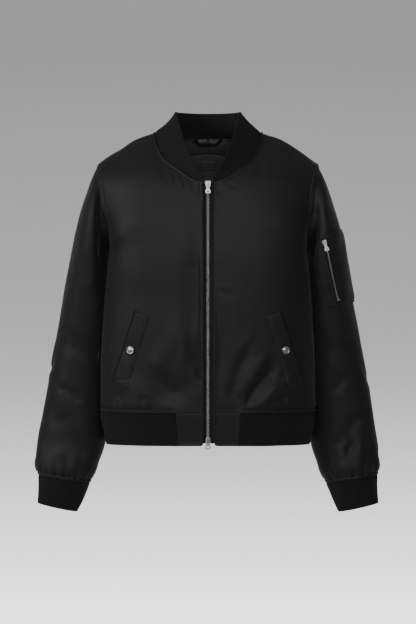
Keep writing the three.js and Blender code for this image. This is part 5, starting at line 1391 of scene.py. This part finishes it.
class JACKET_OT_ribs(bpy.types.Operator):
    """The knitted hem, collar and cuffs, with every rib"""
    bl_idname = "jacket.ribs"
    bl_label = "Ribbed hem, collar and cuffs"

    def hem(self, cloth):
        rise, ribs = cloth.rib_rise * 1000, cloth.hem_ribs
        w = band_steps(67, 4.5)
        t = np.linspace(0, 1, ribs * 5 + 1)
        surface = lambda t, w: np.stack([hem_ring(0.992 * level, len(t[0])) for level in w[:, 0]])
        sheet = ribbed(surface, t, w, ribs, rise, 1, taper=lambda w: 0.35 + 0.65 * ramp((1 - w) * 12))
        soften(sheet, 5, 0.45)
        swell = -0.9 * bell((w - 0.97) / 0.05) + 0.7 * np.sin(np.pi * w)
        sheet.points = sheet.points + sheet.smooth * swell[:, None, None]
        sheet.turn_out()
        d = np.minimum(w * 67, (1 - w) * 67)[:, None]
        ends = np.minimum(t, 1 - t)[None, :] * 1190
        under = ramp((4.8 - ends) / 1.7) + 0 * w[:, None]
        sheet.points = sheet.points - sheet.smooth * (3.1 * under)[..., None]
        sheet.turn_out()
        piece = Piece()
        shell(piece, sheet, thickness("knit"), np.minimum(d, ends), slots=(0, 0))
        obj = piece.build("knit_hem", ["rib_knit"], replaces=["hem_rib"])

    def collar(self, cloth):
        rise, ribs = cloth.rib_rise * 900, cloth.collar_ribs
        w = band_steps(62, 4.2)
        t = np.linspace(0, 1, ribs * 5 + 1)
        ends = NECK_START_ANGLE, 360 - NECK_START_ANGLE
        surface = lambda t, w: collar_base(mix(*ends, t), w + 0 * t)
        sheet = ribbed(surface, t, w, ribs, rise, 1, taper=lambda w: 0.3 + 0.7 * ramp(w * 12))
        soften(sheet, 6, 0.4, 60)
        swell = -0.8 * bell((w - 0.04) / 0.05)
        sheet.points = sheet.points + sheet.smooth * swell[:, None, None]
        sheet.turn_out()
        high = length(sheet.points - sheet.points[-1:])
        low = length(sheet.points - sheet.points[:1])
        along = run(sheet.points[len(w) // 2])
        sides = np.minimum(along, along[-1] - along)[None, :]
        piece = Piece()
        shell(piece, sheet, thickness("collar"), np.minimum(np.minimum(high, low), sides), slots=(0, 1))
        # The collar's face and inside take the lighter copies of the rib knit: painted light
        obj = piece.build("knit_collar", ["knit_collar_face", "knit_collar_inside"], slot="rib_knit",
                          replaces=["collar_rib"])

    def cuff(self, cloth, which, sign):
        rise, ribs = cloth.rib_rise * 950, cloth.cuff_ribs
        w = band_steps(62, 4.2)
        t = np.arange(ribs * 6) / (ribs * 6)
        surface = lambda t, w: section_point(cuff_at, mix(0.3 / 19, 3, w), 360 * t)
        sheet = ribbed(surface, t, w, ribs, rise, -1, closed=True, taper=lambda w: 0.35 + 0.65 * ramp(w * 12))
        soften(sheet, 7 + sign, 0.4, 50)
        swell = -0.3 * bell((w - 0.03) / 0.06) + 0.8 * np.sin(np.pi * w)
        sheet.points = sheet.points + sheet.smooth * swell[:, None, None]
        sheet.turn_out()
        d = np.minimum(w, 1 - w)[:, None] * 62 + 0 * t[None, :]
        piece = Piece()
        shell(piece, sheet, thickness("knit"), d, sign=sign, slots=(0, 0))
        obj = piece.build("knit_cuff_" + which, ["rib_knit"], replaces=["cuff_" + which])

    def execute(self, context):
        cloth = context.scene.jacket_cloth
        self.hem(cloth)
        self.collar(cloth)
        self.cuff(cloth, "left", 1)
        self.cuff(cloth, "right", -1)
        return {"FINISHED"}


def row_at(z):
    """The back's row at a height of its middle line."""
    return solve(lambda v: float(back_base(0.0, v)[2]), z, 0.0, float(NAPE_ROW))


def under_back(which, vs, us, depth):
    """A grid that lies inside the back at a depth below its outer face."""
    sheet = back_sheet(which)
    p, n = sheet.at(vs[:, None], us[None, :])
    return Sheet(vs, us, p - n * depth, -1)


def edge_run(sheet, sides="lrtb"):
    """The distance of each grid point from the grid's edges."""
    p = sheet.points
    far = np.full(p.shape[:2], 1e3)
    for key, edge in zip("lrbt", (p[:, 0], p[:, -1], p[0], p[-1])):
        if key in sides:
            far = np.minimum(far, near_line(p, seam_line(edge, 40))[0])
    return far


class JACKET_OT_inside(bpy.types.Operator):
    """What the neck shows inside: the facing, the lining, a bare label and the hanging loop"""
    bl_idname = "jacket.inside"
    bl_label = "Inside"

    def execute(self, context):
        cloth = thickness("lining")
        low = row_at(-23)
        for which, sign in (("left", 1), ("right", -1)):
            vs, us = np.linspace(low, 12.85, 60), np.linspace(0.0015, 0.32, 44)
            sheet = under_back(which, vs, us, 3.2)
            rim = edge_run(sheet)
            x = sheet.points[..., 0]
            sag = ramp(rim / 10) * (
                0.5 * waves(sheet.points * (sign, 1, 1), 15, 60, 1.0)
                + 0.8 * bell((x - 44 - 4 * sign) / 5) - 0.7 * bell((x - 54 - 4 * sign) / 4))
            sheet.lift(np.minimum(sag, 0.6) - 0.6 * ramp(rim / 10))
            piece = Piece()
            shell(piece, sheet, cloth, rim, sign=sign, slots=(0, 0))
            obj = piece.build("facing_cloth_" + which, ["lining"], replaces=["back_facing_" + which])
        piece, halves = Piece(), []
        for which, sign in (("left", 1), ("right", -1)):
            vs, us = np.linspace(row_at(-190), row_at(-23.6), 60), np.linspace(0, 0.5, 50)
            sheet = under_back(which, vs, us, 3.2)
            sheet.rim = edge_run(sheet, "rtb")
            seen = sheet.points * (sign, 1, 1)
            sheet.lift(ramp(sheet.rim / 12) * (0.6 * waves(seen, 16, 80, 1.0, stretch=(1, 1, 0.3)) - 0.9))
            halves.append(sheet)
        join(halves, slice(None))
        for sheet, sign in zip(halves, (1, -1)):
            rim = (halves[0].rim + halves[1].rim) / 2
            shell(piece, sheet, cloth, rim, sign=sign, slots=(0, 0),
                  open_left=np.ones(len(vs) - 1, bool))
        obj = piece.build("lining_cloth", ["lining"], replaces=["back_lining"], weld=True)
        sheet = back_sheet("left")
        x, z = np.linspace(-17, 17, 21), np.linspace(-58, -38, 13)
        p, n = sheet.under(np.abs(x)[None, :], z[:, None], 1)
        mirror = np.where(x < 0, -1, 1)[None, :, None] * (1, 0, 0) + (0, 1, 1)
        label = Sheet(z, x, (p - n * 4.9) * mirror, -1)
        piece = Piece()
        shell(piece, label, 0.6, edge_run(label), slots=(0, 0))
        obj = piece.build("label_cloth", ["lining"], replaces=["label"])
        path = curve_through([(-30, 5), (-24, 1), (-17, -4), (0, -5), (17, -4), (24, 1), (30, 5)], 41)
        p, n = sheet.under(np.abs(path[:, 0]), path[:, 1], 1)
        mirror = np.where(path[:, :1] < 0, -1, 1) * (1, 0, 0) + (0, 1, 1)
        p, n = p * mirror, n * mirror
        ahead = unit(np.gradient(p, axis=0))
        rise = unit(np.cross(n, ahead))
        w = np.linspace(-3.5, 3.5, 9)
        crown = 0.35 * (w[:, None] / 3.5) ** 2 - 0.9 * bell(path[None, :, 0] / 16)
        points = p[None] - rise[None] * w[:, None, None] - n[None] * (5.5 + crown)[..., None]
        loop = Sheet(w, np.arange(41), points, 1)
        loop.normals = loop.normals * np.sign((loop.normals * n[None]).sum(-1))[..., None]
        piece = Piece()
        loop.facing = 1 if np.cross(ahead[20], -rise[20]) @ n[20] > 0 else -1
        shell(piece, loop, 1.2, edge_run(loop), slots=(0, 0))
        obj = piece.build("loop_cloth", ["zip_tape"], slot="lining", replaces=["locker_loop"])
        return {"FINISHED"}


def welt_grid(which):
    """A welt's grid on its front: rows down it, columns from its sewn edge to its open one."""
    (ti, to), (bi, bo) = WELT_CORNERS["top"], WELT_CORNERS["bottom"]
    a, b = np.linspace(0, 1, 62)[:, None], np.concatenate([[0, 0.03, 0.08, 0.14], np.linspace(0.22, 0.8, 9),
                                                          [0.88, 0.94, 0.98, 1]])[None, :]
    x = mix(mix(ti[0], to[0], b), mix(bi[0], bo[0], b), a)
    z = mix(mix(ti[1], to[1], b), mix(bi[1], bo[1], b), a)
    p, n = front_sheet(which).under(x, z)
    return a[:, 0], b[0], p, n


WELT_GAP = {"left": 1.6, "right": 1.0}
WELT_LENGTH = 152
WELT_WIDTH = 29
# What the pockets leave for the stitches: a line on each welt, and the grids of the sleeve's patch
SEWN_LINES = dict(left=[], right=[])
SEWN_PATCHES = []


class JACKET_OT_pockets(bpy.types.Operator):
    """The two slanted welts with their snaps, and the patch on the sleeve"""
    bl_idname = "jacket.pockets"
    bl_label = "Pockets"

    def execute(self, context):
        for which, sign in (("left", 1), ("right", -1)):
            a, b, p, n = welt_grid(which)
            gap = WELT_GAP[which]
            ends = np.minimum(a, 1 - a)[:, None] * WELT_LENGTH - 0.6
            wide = b[None, :] * WELT_WIDTH
            seated = 1 - np.exp(-np.minimum(wide / 3.4, ends / 2.6))
            open_edge = 0.9 * ramp((b[None, :] - 0.55) / 0.4) * np.sin(np.pi * a[:, None]) ** 0.5
            height = (gap + 1.6) * seated + open_edge - 0.1
            height += 0.3 * waves(p * (sign, 1, 1), 17, 40, 1.0) * seated
            from_snap = np.hypot(WELT_WIDTH * (b[None, :] - 0.5), WELT_LENGTH * (a[:, None] - 0.507))
            height -= 0.9 * bell((from_snap - 12) / 5)
            height -= 1.0 * bell((wide - 5.0) / 1.1) * ramp(ends / 4)
            fold = WELT_LENGTH * (1 - a[:, None]) - 4 - 20 * (1 - b[None, :])
            tuck = (0.4 * bell((fold + 3) / 2.4) - 2.2 * bell(fold / 1.5)) * (1 if which == "right" else 0.2)
            sheet = Sheet(a, b, p + n * (height + tuck * 0.6)[..., None], -1)
            piece = Piece()
            shell(piece, sheet, 1.6, edge_run(sheet), sign=sign, slots=(0, 0))
            obj = piece.build("welt_cloth_" + which, ["satin"], replaces=["pocket_welt_" + which])
            self.mouth(which, sign)
            line = sheet.at(np.linspace(0.02, 0.98, 120), 5.0 / WELT_WIDTH + np.zeros(120))
            SEWN_LINES[which].append((line, sign))
            self.snap(which, sign, gap)
        self.patch()
        return {"FINISHED"}

    def mouth(self, which, sign):
        """A dark strip along the welt's open edge: painted shade that stands for the shadow in the pocket's
        opening.
        """
        (_, top), (_, bottom) = WELT_CORNERS["top"], WELT_CORNERS["bottom"]
        a, b = np.linspace(0.012, 0.985, 60)[:, None], np.linspace(-1.6, 3.4, 6)[None, :]
        out = np.sign(top[0] - WELT_CORNERS["top"][0][0])
        x, z = mix(top[0], bottom[0], a) + out * b, mix(top[1], bottom[1], a) + 0 * b
        p, n = front_sheet(which).under(x, z)
        sheet = Sheet(a[:, 0], b[0], p + 0.75 * n, 1)
        sheet.facing = 1 if (sheet.normals * n).sum() > 0 else -1
        sheet.turn_out()
        piece = Piece()
        shell(piece, sheet, 0.6, edge_run(sheet), sign=sign, slots=(0, 0))
        # The strip is near-black knit: painted shade in the pocket's opening
        obj = piece.build("pocket_mouth_" + which, ["pocketing"], slot="lining")

    def snap(self, which, sign, gap):
        p, n = front_sheet(which).under(*SNAP_PLACE)
        outline = np.array([
            (0, 0), (7.0, 0), (7.7, 0.12), (8, 0.5), (8, 1.4), (7.85, 1.8), (7.5, 2.05), (7.1, 2.1),
            (6.75, 1.95), (6.5, 1.6), (6.1, 1.42), (5.6, 1.45), (5.1, 1.75), (4.4, 2.2), (3.5, 2.58),
            (2.5, 2.82), (1.3, 2.96), (0, 3.0)])
        turn = np.arange(72) * 2 * np.pi / 72
        ring = np.stack([np.cos(turn), np.sin(turn)], -1)
        x = unit(np.cross((0.0, 0.0, 1.0), n))
        y = np.cross(n, x)
        seat = p + n * (gap + 2.2)
        rings = (seat + outline[1:-1, 0, None, None] * (ring[None, :, 0:1] * x + ring[None, :, 1:2] * y)
                 + outline[1:-1, 1, None, None] * n)
        points = np.concatenate([rings.reshape(-1, 3), [seat, seat + 3.0 * n]])
        k = np.arange(72)
        m = (k + 1) % 72
        walls = np.concatenate([np.stack([r * 72 + k, r * 72 + m, r * 72 + 72 + m, r * 72 + 72 + k], -1)
                                for r in range(len(rings) - 1)])
        last = (len(rings) - 1) * 72
        caps = np.concatenate([np.stack([m, k, 0 * k + last + 72], -1),
                               np.stack([last + k, last + m, 0 * k + last + 73], -1)])
        piece = Piece()
        piece.add(points, [walls, caps], sign=sign)
        piece.build("snap_cap_" + which, ["snap_metal"], slot="steel", replaces=["snap_" + which])

    def patch(self):
        """The sleeve's pocket: a patch in two parts, sewn down all round, with the zip between them."""
        sheet = sleeve_sheet("left")
        for name, start, end, shift in (("front", "front", "zip", (0, -1)), ("back", "zip", "back", (1, 0))):
            along = np.concatenate([[0, 0.008, 0.02, 0.04], np.linspace(0.06, 0.94, 46),
                                    [0.96, 0.98, 0.992, 1]])
            middle = np.linspace(0.24, 0.76, 20 if name == "back" else 10)
            across = np.concatenate([[0, 0.02, 0.05, 0.1, 0.16], middle, [0.84, 0.9, 0.95, 0.98, 1]])
            level, angle = arm_place(ARM_POCKET[start], ARM_POCKET[end], along[:, None], across[None, :],
                                     shift)
            p, n = sheet.at(level, angle)
            flat = Sheet(along, across, p, 1)
            rim = edge_run(flat)
            slot_edge = near_line(p, p[:, -1] if name == "front" else p[:, 0])[0]
            others = edge_run(flat, "lbt" if name == "front" else "rbt")
            height = 1.9 + 1.5 * (1 - np.exp(-others / 1.6)) + 0.35 * bell((slot_edge - 2) / 2)
            height -= 1.4 * bell((rim - 5.2) / 1.3)
            height += 0.5 * waves(p, 18, 45, 1.0) * ramp(rim / 8)
            flat = Sheet(along, across, p + n * height[..., None], 1)
            piece = Piece()
            shell(piece, flat, 1.6, rim, slots=(0, 0))
            obj = piece.build("patch_cloth_" + name, ["satin"], replaces=["sleeve_pocket_" + name])
            SEWN_PATCHES.append(flat)


def arm_place(start, end, along, across, shift=(0, 0)):
    """A place of the sleeve's pocket as a level and an angle: between two slanted lines, which are
    drawn back from the zip by its slot where shift says so."""
    slot = np.degrees(ARM_POCKET["slot"] / ARM_RADIUS)
    a = mix(start[1], start[0], along) + shift[0] * slot
    b = mix(end[1], end[0], along) + shift[1] * slot
    angle = mix(a, b, across)
    top = ARM_POCKET["top"] + ARM_POCKET["top_drop"] * ramp((angle - 60) / 100)
    return mix(ARM_POCKET["bottom"], top, along), angle


def zip_frame(z):
    """A point on the middle line of the front at a height, the way up along it and the way out."""
    origin = vec(0, -centre_front(z), z)
    up = unit(vec(0, -centre_front(z + 5) + centre_front(z - 5), 10 + 0 * z))
    return origin, up, np.cross(vec(1 + 0 * z, 0, 0), up)


def tooth_shape():
    """One tooth of a zip, 1 long along Z: a rounded block that grips the tape, with a nib on its head."""
    turn = np.arange(8) * np.pi / 4 + np.pi / 8
    ring = np.stack([np.sign(np.cos(turn)) * np.abs(np.cos(turn)) ** 0.5,
                     np.sign(np.sin(turn)) * np.abs(np.sin(turn)) ** 0.5], -1)
    rows = [(-0.62, 0.30, 0.35), (-0.5, 0.42, 0.5), (0.6, 0.5, 0.62), (2.2, 0.5, 0.85), (2.75, 0.5, 0.85),
            (2.9, 0.4, 0.7)]
    points = np.concatenate([
        np.column_stack([np.full(8, x), ring[:, 0] * 1.9 * d, ring[:, 1] * 0.5 * h / 0.5])
        for x, h, d in rows])
    k = np.arange(8)
    m = (k + 1) % 8
    walls = np.concatenate([np.stack([r * 8 + k, r * 8 + m, r * 8 + 8 + m, r * 8 + 8 + k], -1)
                            for r in range(len(rows) - 1)])
    return points, walls, [np.arange(8)[None, ::-1], np.arange(8)[None] + 8 * (len(rows) - 1)]


def row_of_teeth(piece, origins, across, up, out, pitch, scale=1.0):
    """Teeth on both sides of a line, half a pitch apart."""
    shape, walls, ends = tooth_shape()
    for way in (1, -1):
        size = shape * (scale, scale, pitch * 0.5)
        place_copies(piece, size, [walls, ends[0], ends[1]], origins[way], across[way] * way, out[way],
                     up[way])


def metal_copy(name, node, body, width=0.25, spread=0.0):
    """A CAD piece of metal with its edges broken by a small bevel; a pull also spreads to its end."""
    source = frame["nodes"][node].data
    mesh = bpy.data.meshes.new(name)
    shape = bmesh.new()
    shape.from_mesh(source)
    bmesh.ops.remove_doubles(shape, verts=shape.verts, dist=1e-6)
    bmesh.ops.dissolve_limit(shape, angle_limit=np.radians(1.5), verts=shape.verts, edges=shape.edges)
    shape.to_mesh(mesh)
    shape.free()
    if spread:
        joint = next(j for j in frame["record"]["behaviour"]["joints"] if j["child"] == body)
        points = np.array([v.co for v in mesh.vertices]) - joint["pos_m"]
        axis = np.array(joint["axis"])
        aside = points @ axis
        away = length(points - aside[:, None] * axis)
        points += (spread * np.square(away / away.max()) * aside)[:, None] * axis + joint["pos_m"]
        mesh.vertices.foreach_set("co", points.ravel())
    mesh.materials.clear()
    mesh.materials.append(material("steel"))
    mesh.polygons.foreach_set("use_smooth", np.ones(len(mesh.polygons), bool))
    mesh.set_sharp_from_angle(angle=np.radians(40))
    obj = bpy.data.objects.new(name, mesh)
    bpy.context.scene.collection.objects.link(obj)
    bevel = obj.modifiers.new("edges", "BEVEL")
    bevel.width, bevel.segments, bevel.limit_method = width * MM, 2, "ANGLE"
    bevel.angle_limit = np.radians(35)
    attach(obj, body)
    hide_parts(node)
    return obj


class JACKET_OT_zips(bpy.types.Operator):
    """The front zip and the sleeve's zip: tapes, teeth, sliders and pulls"""
    bl_idname = "jacket.zips"
    bl_label = "Zips"

    def execute(self, context):
        sewing = context.scene.jacket_sewing
        z = np.linspace(*ZIP_TAPE_Z, 150)
        origin, _, out = zip_frame(z)
        for which, sign in (("left", 1), ("right", -1)):
            x = np.array([1.5, 1.8, 2.3, 2.9, 3.5, 3.9, 4.6, 7, 10, 12, 14, 16.5, 18.6, 19])
            bead = 0.75 * bell((x - 2.9) / 0.75)
            points = origin[:, None] + vec(x[None], 0, 0) + out[:, None] * (bead - 3.2)[None, :, None]
            sheet = Sheet(z, x, points, 1)
            piece = Piece()
            shell(piece, sheet, 0.9, edge_run(sheet), sign=sign, slots=(0, 0))
            obj = piece.build("tape_cloth_" + which, ["zip_tape"], replaces=["zip_tape_" + which])
        pitch = sewing.tooth_pitch * 1000
        starts = {1: np.arange(ZIP_CHAIN_Z[0] + 1, ZIP_CHAIN_Z[1] - 1, pitch),
                  -1: np.arange(ZIP_CHAIN_Z[0] + 1 + pitch / 2, ZIP_CHAIN_Z[1] - 1, pitch)}
        piece = Piece()
        frames = {way: zip_frame(at) for way, at in starts.items()}
        row_of_teeth(piece, {w: f[0] - f[2] * 2.5 for w, f in frames.items()},
                     {w: vec(1 + 0 * starts[w], 0, 0) for w in frames}, {w: f[1] for w, f in frames.items()},
                     {w: f[2] for w, f in frames.items()}, pitch)
        piece.build("front_zip_teeth", ["snap_metal"], slot="steel", replaces=["zip_chain"])
        self.arm_zip(sewing)
        for node, body in (("zip_slider_top", JACKET), ("zip_slider_bottom", JACKET),
                           ("sleeve_zip_slider", JACKET), ("sleeve_zip_stop", JACKET),
                           ("zip_pull_top", "upper_pull"), ("zip_pull_bottom", "lower_pull"),
                           ("sleeve_zip_pull", "arm_pull")):
            metal_copy("metal_" + node, node, body, spread=0.5 if "pull" in node else 0.0)
        return {"FINISHED"}

    def arm_zip(self, sewing):
        sheet = sleeve_sheet("left")
        along = np.linspace(0.02, 0.975, 90)
        level, angle = arm_place(ARM_POCKET["zip"], ARM_POCKET["zip"], along, 0 * along)
        p, n = sheet.at(level, angle)
        ahead = unit(np.gradient(p, axis=0))
        aside = unit(np.cross(ahead, n))
        x = np.array([-3.8, -3.5, -2.6, -2.0, -1.4, -0.8, 0, 0.8, 1.4, 2.0, 2.6, 3.5, 3.8])
        bead = 0.35 * bell((np.abs(x) - 1.7) / 0.5)
        rise = (PATCH_RISE + TAPE_RISE - 0.05 + bead)[None, :, None]
        points = p[:, None] + aside[:, None] * x[None, :, None] + n[:, None] * rise
        tape = Sheet(along, x, points, 1)
        piece = Piece()
        shell(piece, tape, 0.9, edge_run(tape), slots=(0, 0))
        obj = piece.build("arm_tape_cloth", ["zip_tape"], replaces=["sleeve_zip_tape"])
        s = run(p)
        first, last = np.interp([0.07, 0.92], along, s)
        pitch = sewing.arm_tooth_pitch * 1000
        places = {1: np.arange(first, last, pitch), -1: np.arange(first + pitch / 2, last, pitch)}
        get = lambda a, at: np.stack([np.interp(at, s, a[:, k]) for k in range(3)], -1)
        height = PATCH_RISE + TAPE_RISE + 0.45 + 0.7
        piece = Piece()
        row_of_teeth(piece, {w: get(p, at) + get(n, at) * height for w, at in places.items()},
                     {w: unit(get(aside, at)) for w, at in places.items()},
                     {w: unit(get(ahead, at)) for w, at in places.items()},
                     {w: unit(get(n, at)) for w, at in places.items()}, pitch, 0.6)
        piece.build("arm_zip_teeth", ["snap_metal"], slot="steel", replaces=["sleeve_zip_chain"])


class JACKET_OT_stitches(bpy.types.Operator):
    """Topstitching along the seams, as rows of small threads"""
    bl_idname = "jacket.stitches"
    bl_label = "Stitches"

    def execute(self, context):
        for which, sign in (("left", 1), ("right", -1)):
            sheet, piece = front_sheet(which), Piece()
            p, n, d = sheet.points, sheet.normals, sheet.d
            hem = int(np.argmin(np.abs(sheet.v - 1)))
            facing = int(np.argmin(np.abs(sheet.u - FACING_U)))
            for key, at in (("zip", EDGE_STITCH + 0.2), ("neck", EDGE_STITCH)):
                stitch(piece, *offset_line(p, n, d[key], at), sign)
            stitch(piece, *offset_line(p[:, ::-1], n[:, ::-1], d["arm"][:, ::-1], ARM_STITCH), sign)
            swap = lambda a: a[hem:, facing:].swapaxes(0, 1)
            stitch(piece, *offset_line(swap(p), swap(n), swap(d["hem"]), HEM_STITCH), sign)
            strip = (p[:hem + 1, :facing + 1][:, ::-1], n[:hem + 1, :facing + 1][:, ::-1],
                     d["cut"][:hem + 1, :facing + 1][:, ::-1])
            for at in (EDGE_STITCH, NEAR_STITCH):
                stitch(piece, *offset_line(*strip, at), sign)
            for (line, normals), side in SEWN_LINES[which]:
                stitch(piece, line, normals, side)
            piece.build("stitches_front_" + which, ["thread"], slot="satin")
            sheet, piece = back_sheet(which), Piece()
            p, n, d = sheet.points, sheet.normals, sheet.d
            stitch(piece, *offset_line(p, n, d["neck"], EDGE_STITCH), sign)
            stitch(piece, *offset_line(p[:, ::-1], n[:, ::-1], d["arm"][:, ::-1], ARM_STITCH), sign)
            swap = lambda a: a.swapaxes(0, 1)
            stitch(piece, *offset_line(swap(p), swap(n), swap(d["hem"]), HEM_STITCH), sign)
            top = lambda a: a[::-1].swapaxes(0, 1)
            stitch(piece, *offset_line(top(p), top(n), top(d["shoulder"]), HEM_STITCH), sign)
            piece.build("stitches_back_" + which, ["thread"], slot="satin")
            sheet, piece = sleeve_sheet(which), Piece()
            closed = (np.concatenate([a, a[:, :1]], 1)[::-1].swapaxes(0, 1)
                      for a in (sheet.points, sheet.normals, sheet.d["cuff"]))
            stitch(piece, *offset_line(*closed, HEM_STITCH - 0.2), sign)
            if which == "left":
                self.patch(piece)
            piece.build("stitches_sleeve_" + which, ["thread"], slot="satin")
        return {"FINISHED"}

    def patch(self, piece):
        """Round the sleeve's pocket and beside its zip."""
        for sheet in SEWN_PATCHES:
            d = edge_run(sheet)
            p, n = sheet.points, sheet.normals
            swap = lambda a: a.swapaxes(0, 1)
            inside = lambda a: a[6:-6]
            for a in ((p, n, d), (p[:, ::-1], n[:, ::-1], d[:, ::-1])):
                stitch(piece, *offset_line(*(inside(k) for k in a), 5.2))
            for a in ((swap(p), swap(n), swap(d)), (swap(p[::-1]), swap(n[::-1]), swap(d[::-1]))):
                stitch(piece, *offset_line(*(k[4:-4] for k in a), 5.2))


class JACKET_OT_studio(bpy.types.Operator):
    """A pale paper sweep, soft lights and the camera at the photograph's place"""
    bl_idname = "jacket.studio"
    bl_label = "Studio"

    def light(self, name, power, size, place, aim):
        data = bpy.data.lights.new(name, "AREA")
        data.shape, data.size, data.size_y = "RECTANGLE", size[0], size[1]
        data.energy = power
        obj = bpy.data.objects.new(name, data)
        obj.location = place
        obj.rotation_euler = (Vector(aim) - Vector(place)).to_track_quat("-Z", "Y").to_euler()
        bpy.context.scene.collection.objects.link(obj)

    def execute(self, context):
        studio = context.scene.jacket_studio
        turn = np.linspace(0, np.pi / 2, 24)
        bend = np.stack([4.2 + 1.4 * np.sin(turn), -3.2 - 1.4 * np.cos(turn)], -1)
        outline = np.concatenate([[(-9.0, -4.6)], bend, [(5.6, 6.0)]])
        x = np.array([-9.0, 9.0])
        points = vec(x[None, :], outline[:, :1], outline[:, 1:])
        index = np.arange(points.shape[0] * 2).reshape(-1, 2)
        faces = np.stack([index[:-1, 0], index[:-1, 1], index[1:, 1], index[1:, 0]], -1)
        mesh = bpy.data.meshes.new("paper")
        mesh.from_pydata(points.reshape(-1, 3).tolist(), [], faces.tolist())
        mesh.polygons.foreach_set("use_smooth", np.ones(len(faces), bool))
        mesh.materials.append(material("pale_paper"))
        paper = bpy.data.objects.new("paper", mesh)
        context.scene.collection.objects.link(paper)
        paper.visible_glossy = False
        self.light("key", studio.key, (1.4, 2.2), (-2.9, -2.0, 0.95), (0, 0, -0.35))
        self.light("front", studio.front, (1.6, 1.2), (0.1, -3.8, 0.9), (0.05, 0, -0.2))
        self.light("fill", studio.fill, (1.4, 2.0), (2.8, -2.4, 0.2), (0, 0, -0.4))
        self.light("top", studio.top, (2.2, 1.6), (0, -0.3, 2.3), (0, 0, -0.3))
        self.light("backdrop", studio.back, (5.0, 1.0), (0, 3.2, 3.2), (0, 5.6, -0.8))
        world = bpy.data.worlds.new("surround")
        world.use_nodes = True
        world.node_tree.nodes["Background"].inputs["Color"].default_value = (1, 1, 1, 1)
        world.node_tree.nodes["Background"].inputs["Strength"].default_value = studio.sky
        context.scene.world = world
        data = bpy.data.cameras.new("camera")
        data.sensor_fit, data.sensor_height, data.lens = "VERTICAL", 36, CAMERA_LENS
        data.clip_end = 100
        camera = bpy.data.objects.new("camera", data)
        camera.location = (0, -CAMERA_DISTANCE * MM, CAMERA_HEIGHT * MM)
        camera.rotation_euler = (np.pi / 2, 0, 0)
        context.scene.collection.objects.link(camera)
        context.scene.camera = camera
        return {"FINISHED"}


OPERATORS = [JACKET_OT_fronts, JACKET_OT_back, JACKET_OT_sleeves, JACKET_OT_bindings, JACKET_OT_ribs,
             JACKET_OT_inside, JACKET_OT_pockets, JACKET_OT_zips, JACKET_OT_stitches, JACKET_OT_studio]


class JACKET_PT_sidebar(bpy.types.Panel):
    bl_idname = "JACKET_PT_sidebar"
    bl_label = "Bomber jacket"
    bl_space_type = "VIEW_3D"
    bl_region_type = "UI"
    bl_category = "Jacket"

    def draw(self, context):
        for name, group in SETTINGS.items():
            settings = getattr(context.scene, name)
            box = self.layout.box()
            for key in group.__annotations__:
                box.prop(settings, key)
        for operator in OPERATORS:
            self.layout.operator(operator.bl_idname)


def register():
    for kind in (*SETTINGS.values(), *OPERATORS, JACKET_PT_sidebar):
        bpy.utils.register_class(kind)
    for name, group in SETTINGS.items():
        setattr(bpy.types.Scene, name, PointerProperty(type=group))


def unregister():
    for name in SETTINGS:
        delattr(bpy.types.Scene, name)
    for kind in reversed((*SETTINGS.values(), *OPERATORS, JACKET_PT_sidebar)):
        bpy.utils.unregister_class(kind)


def main():
    register()
    for operator in OPERATORS:
        getattr(bpy.ops.jacket, operator.bl_idname.split(".")[1])()


if __name__ == "__main__":
    main()
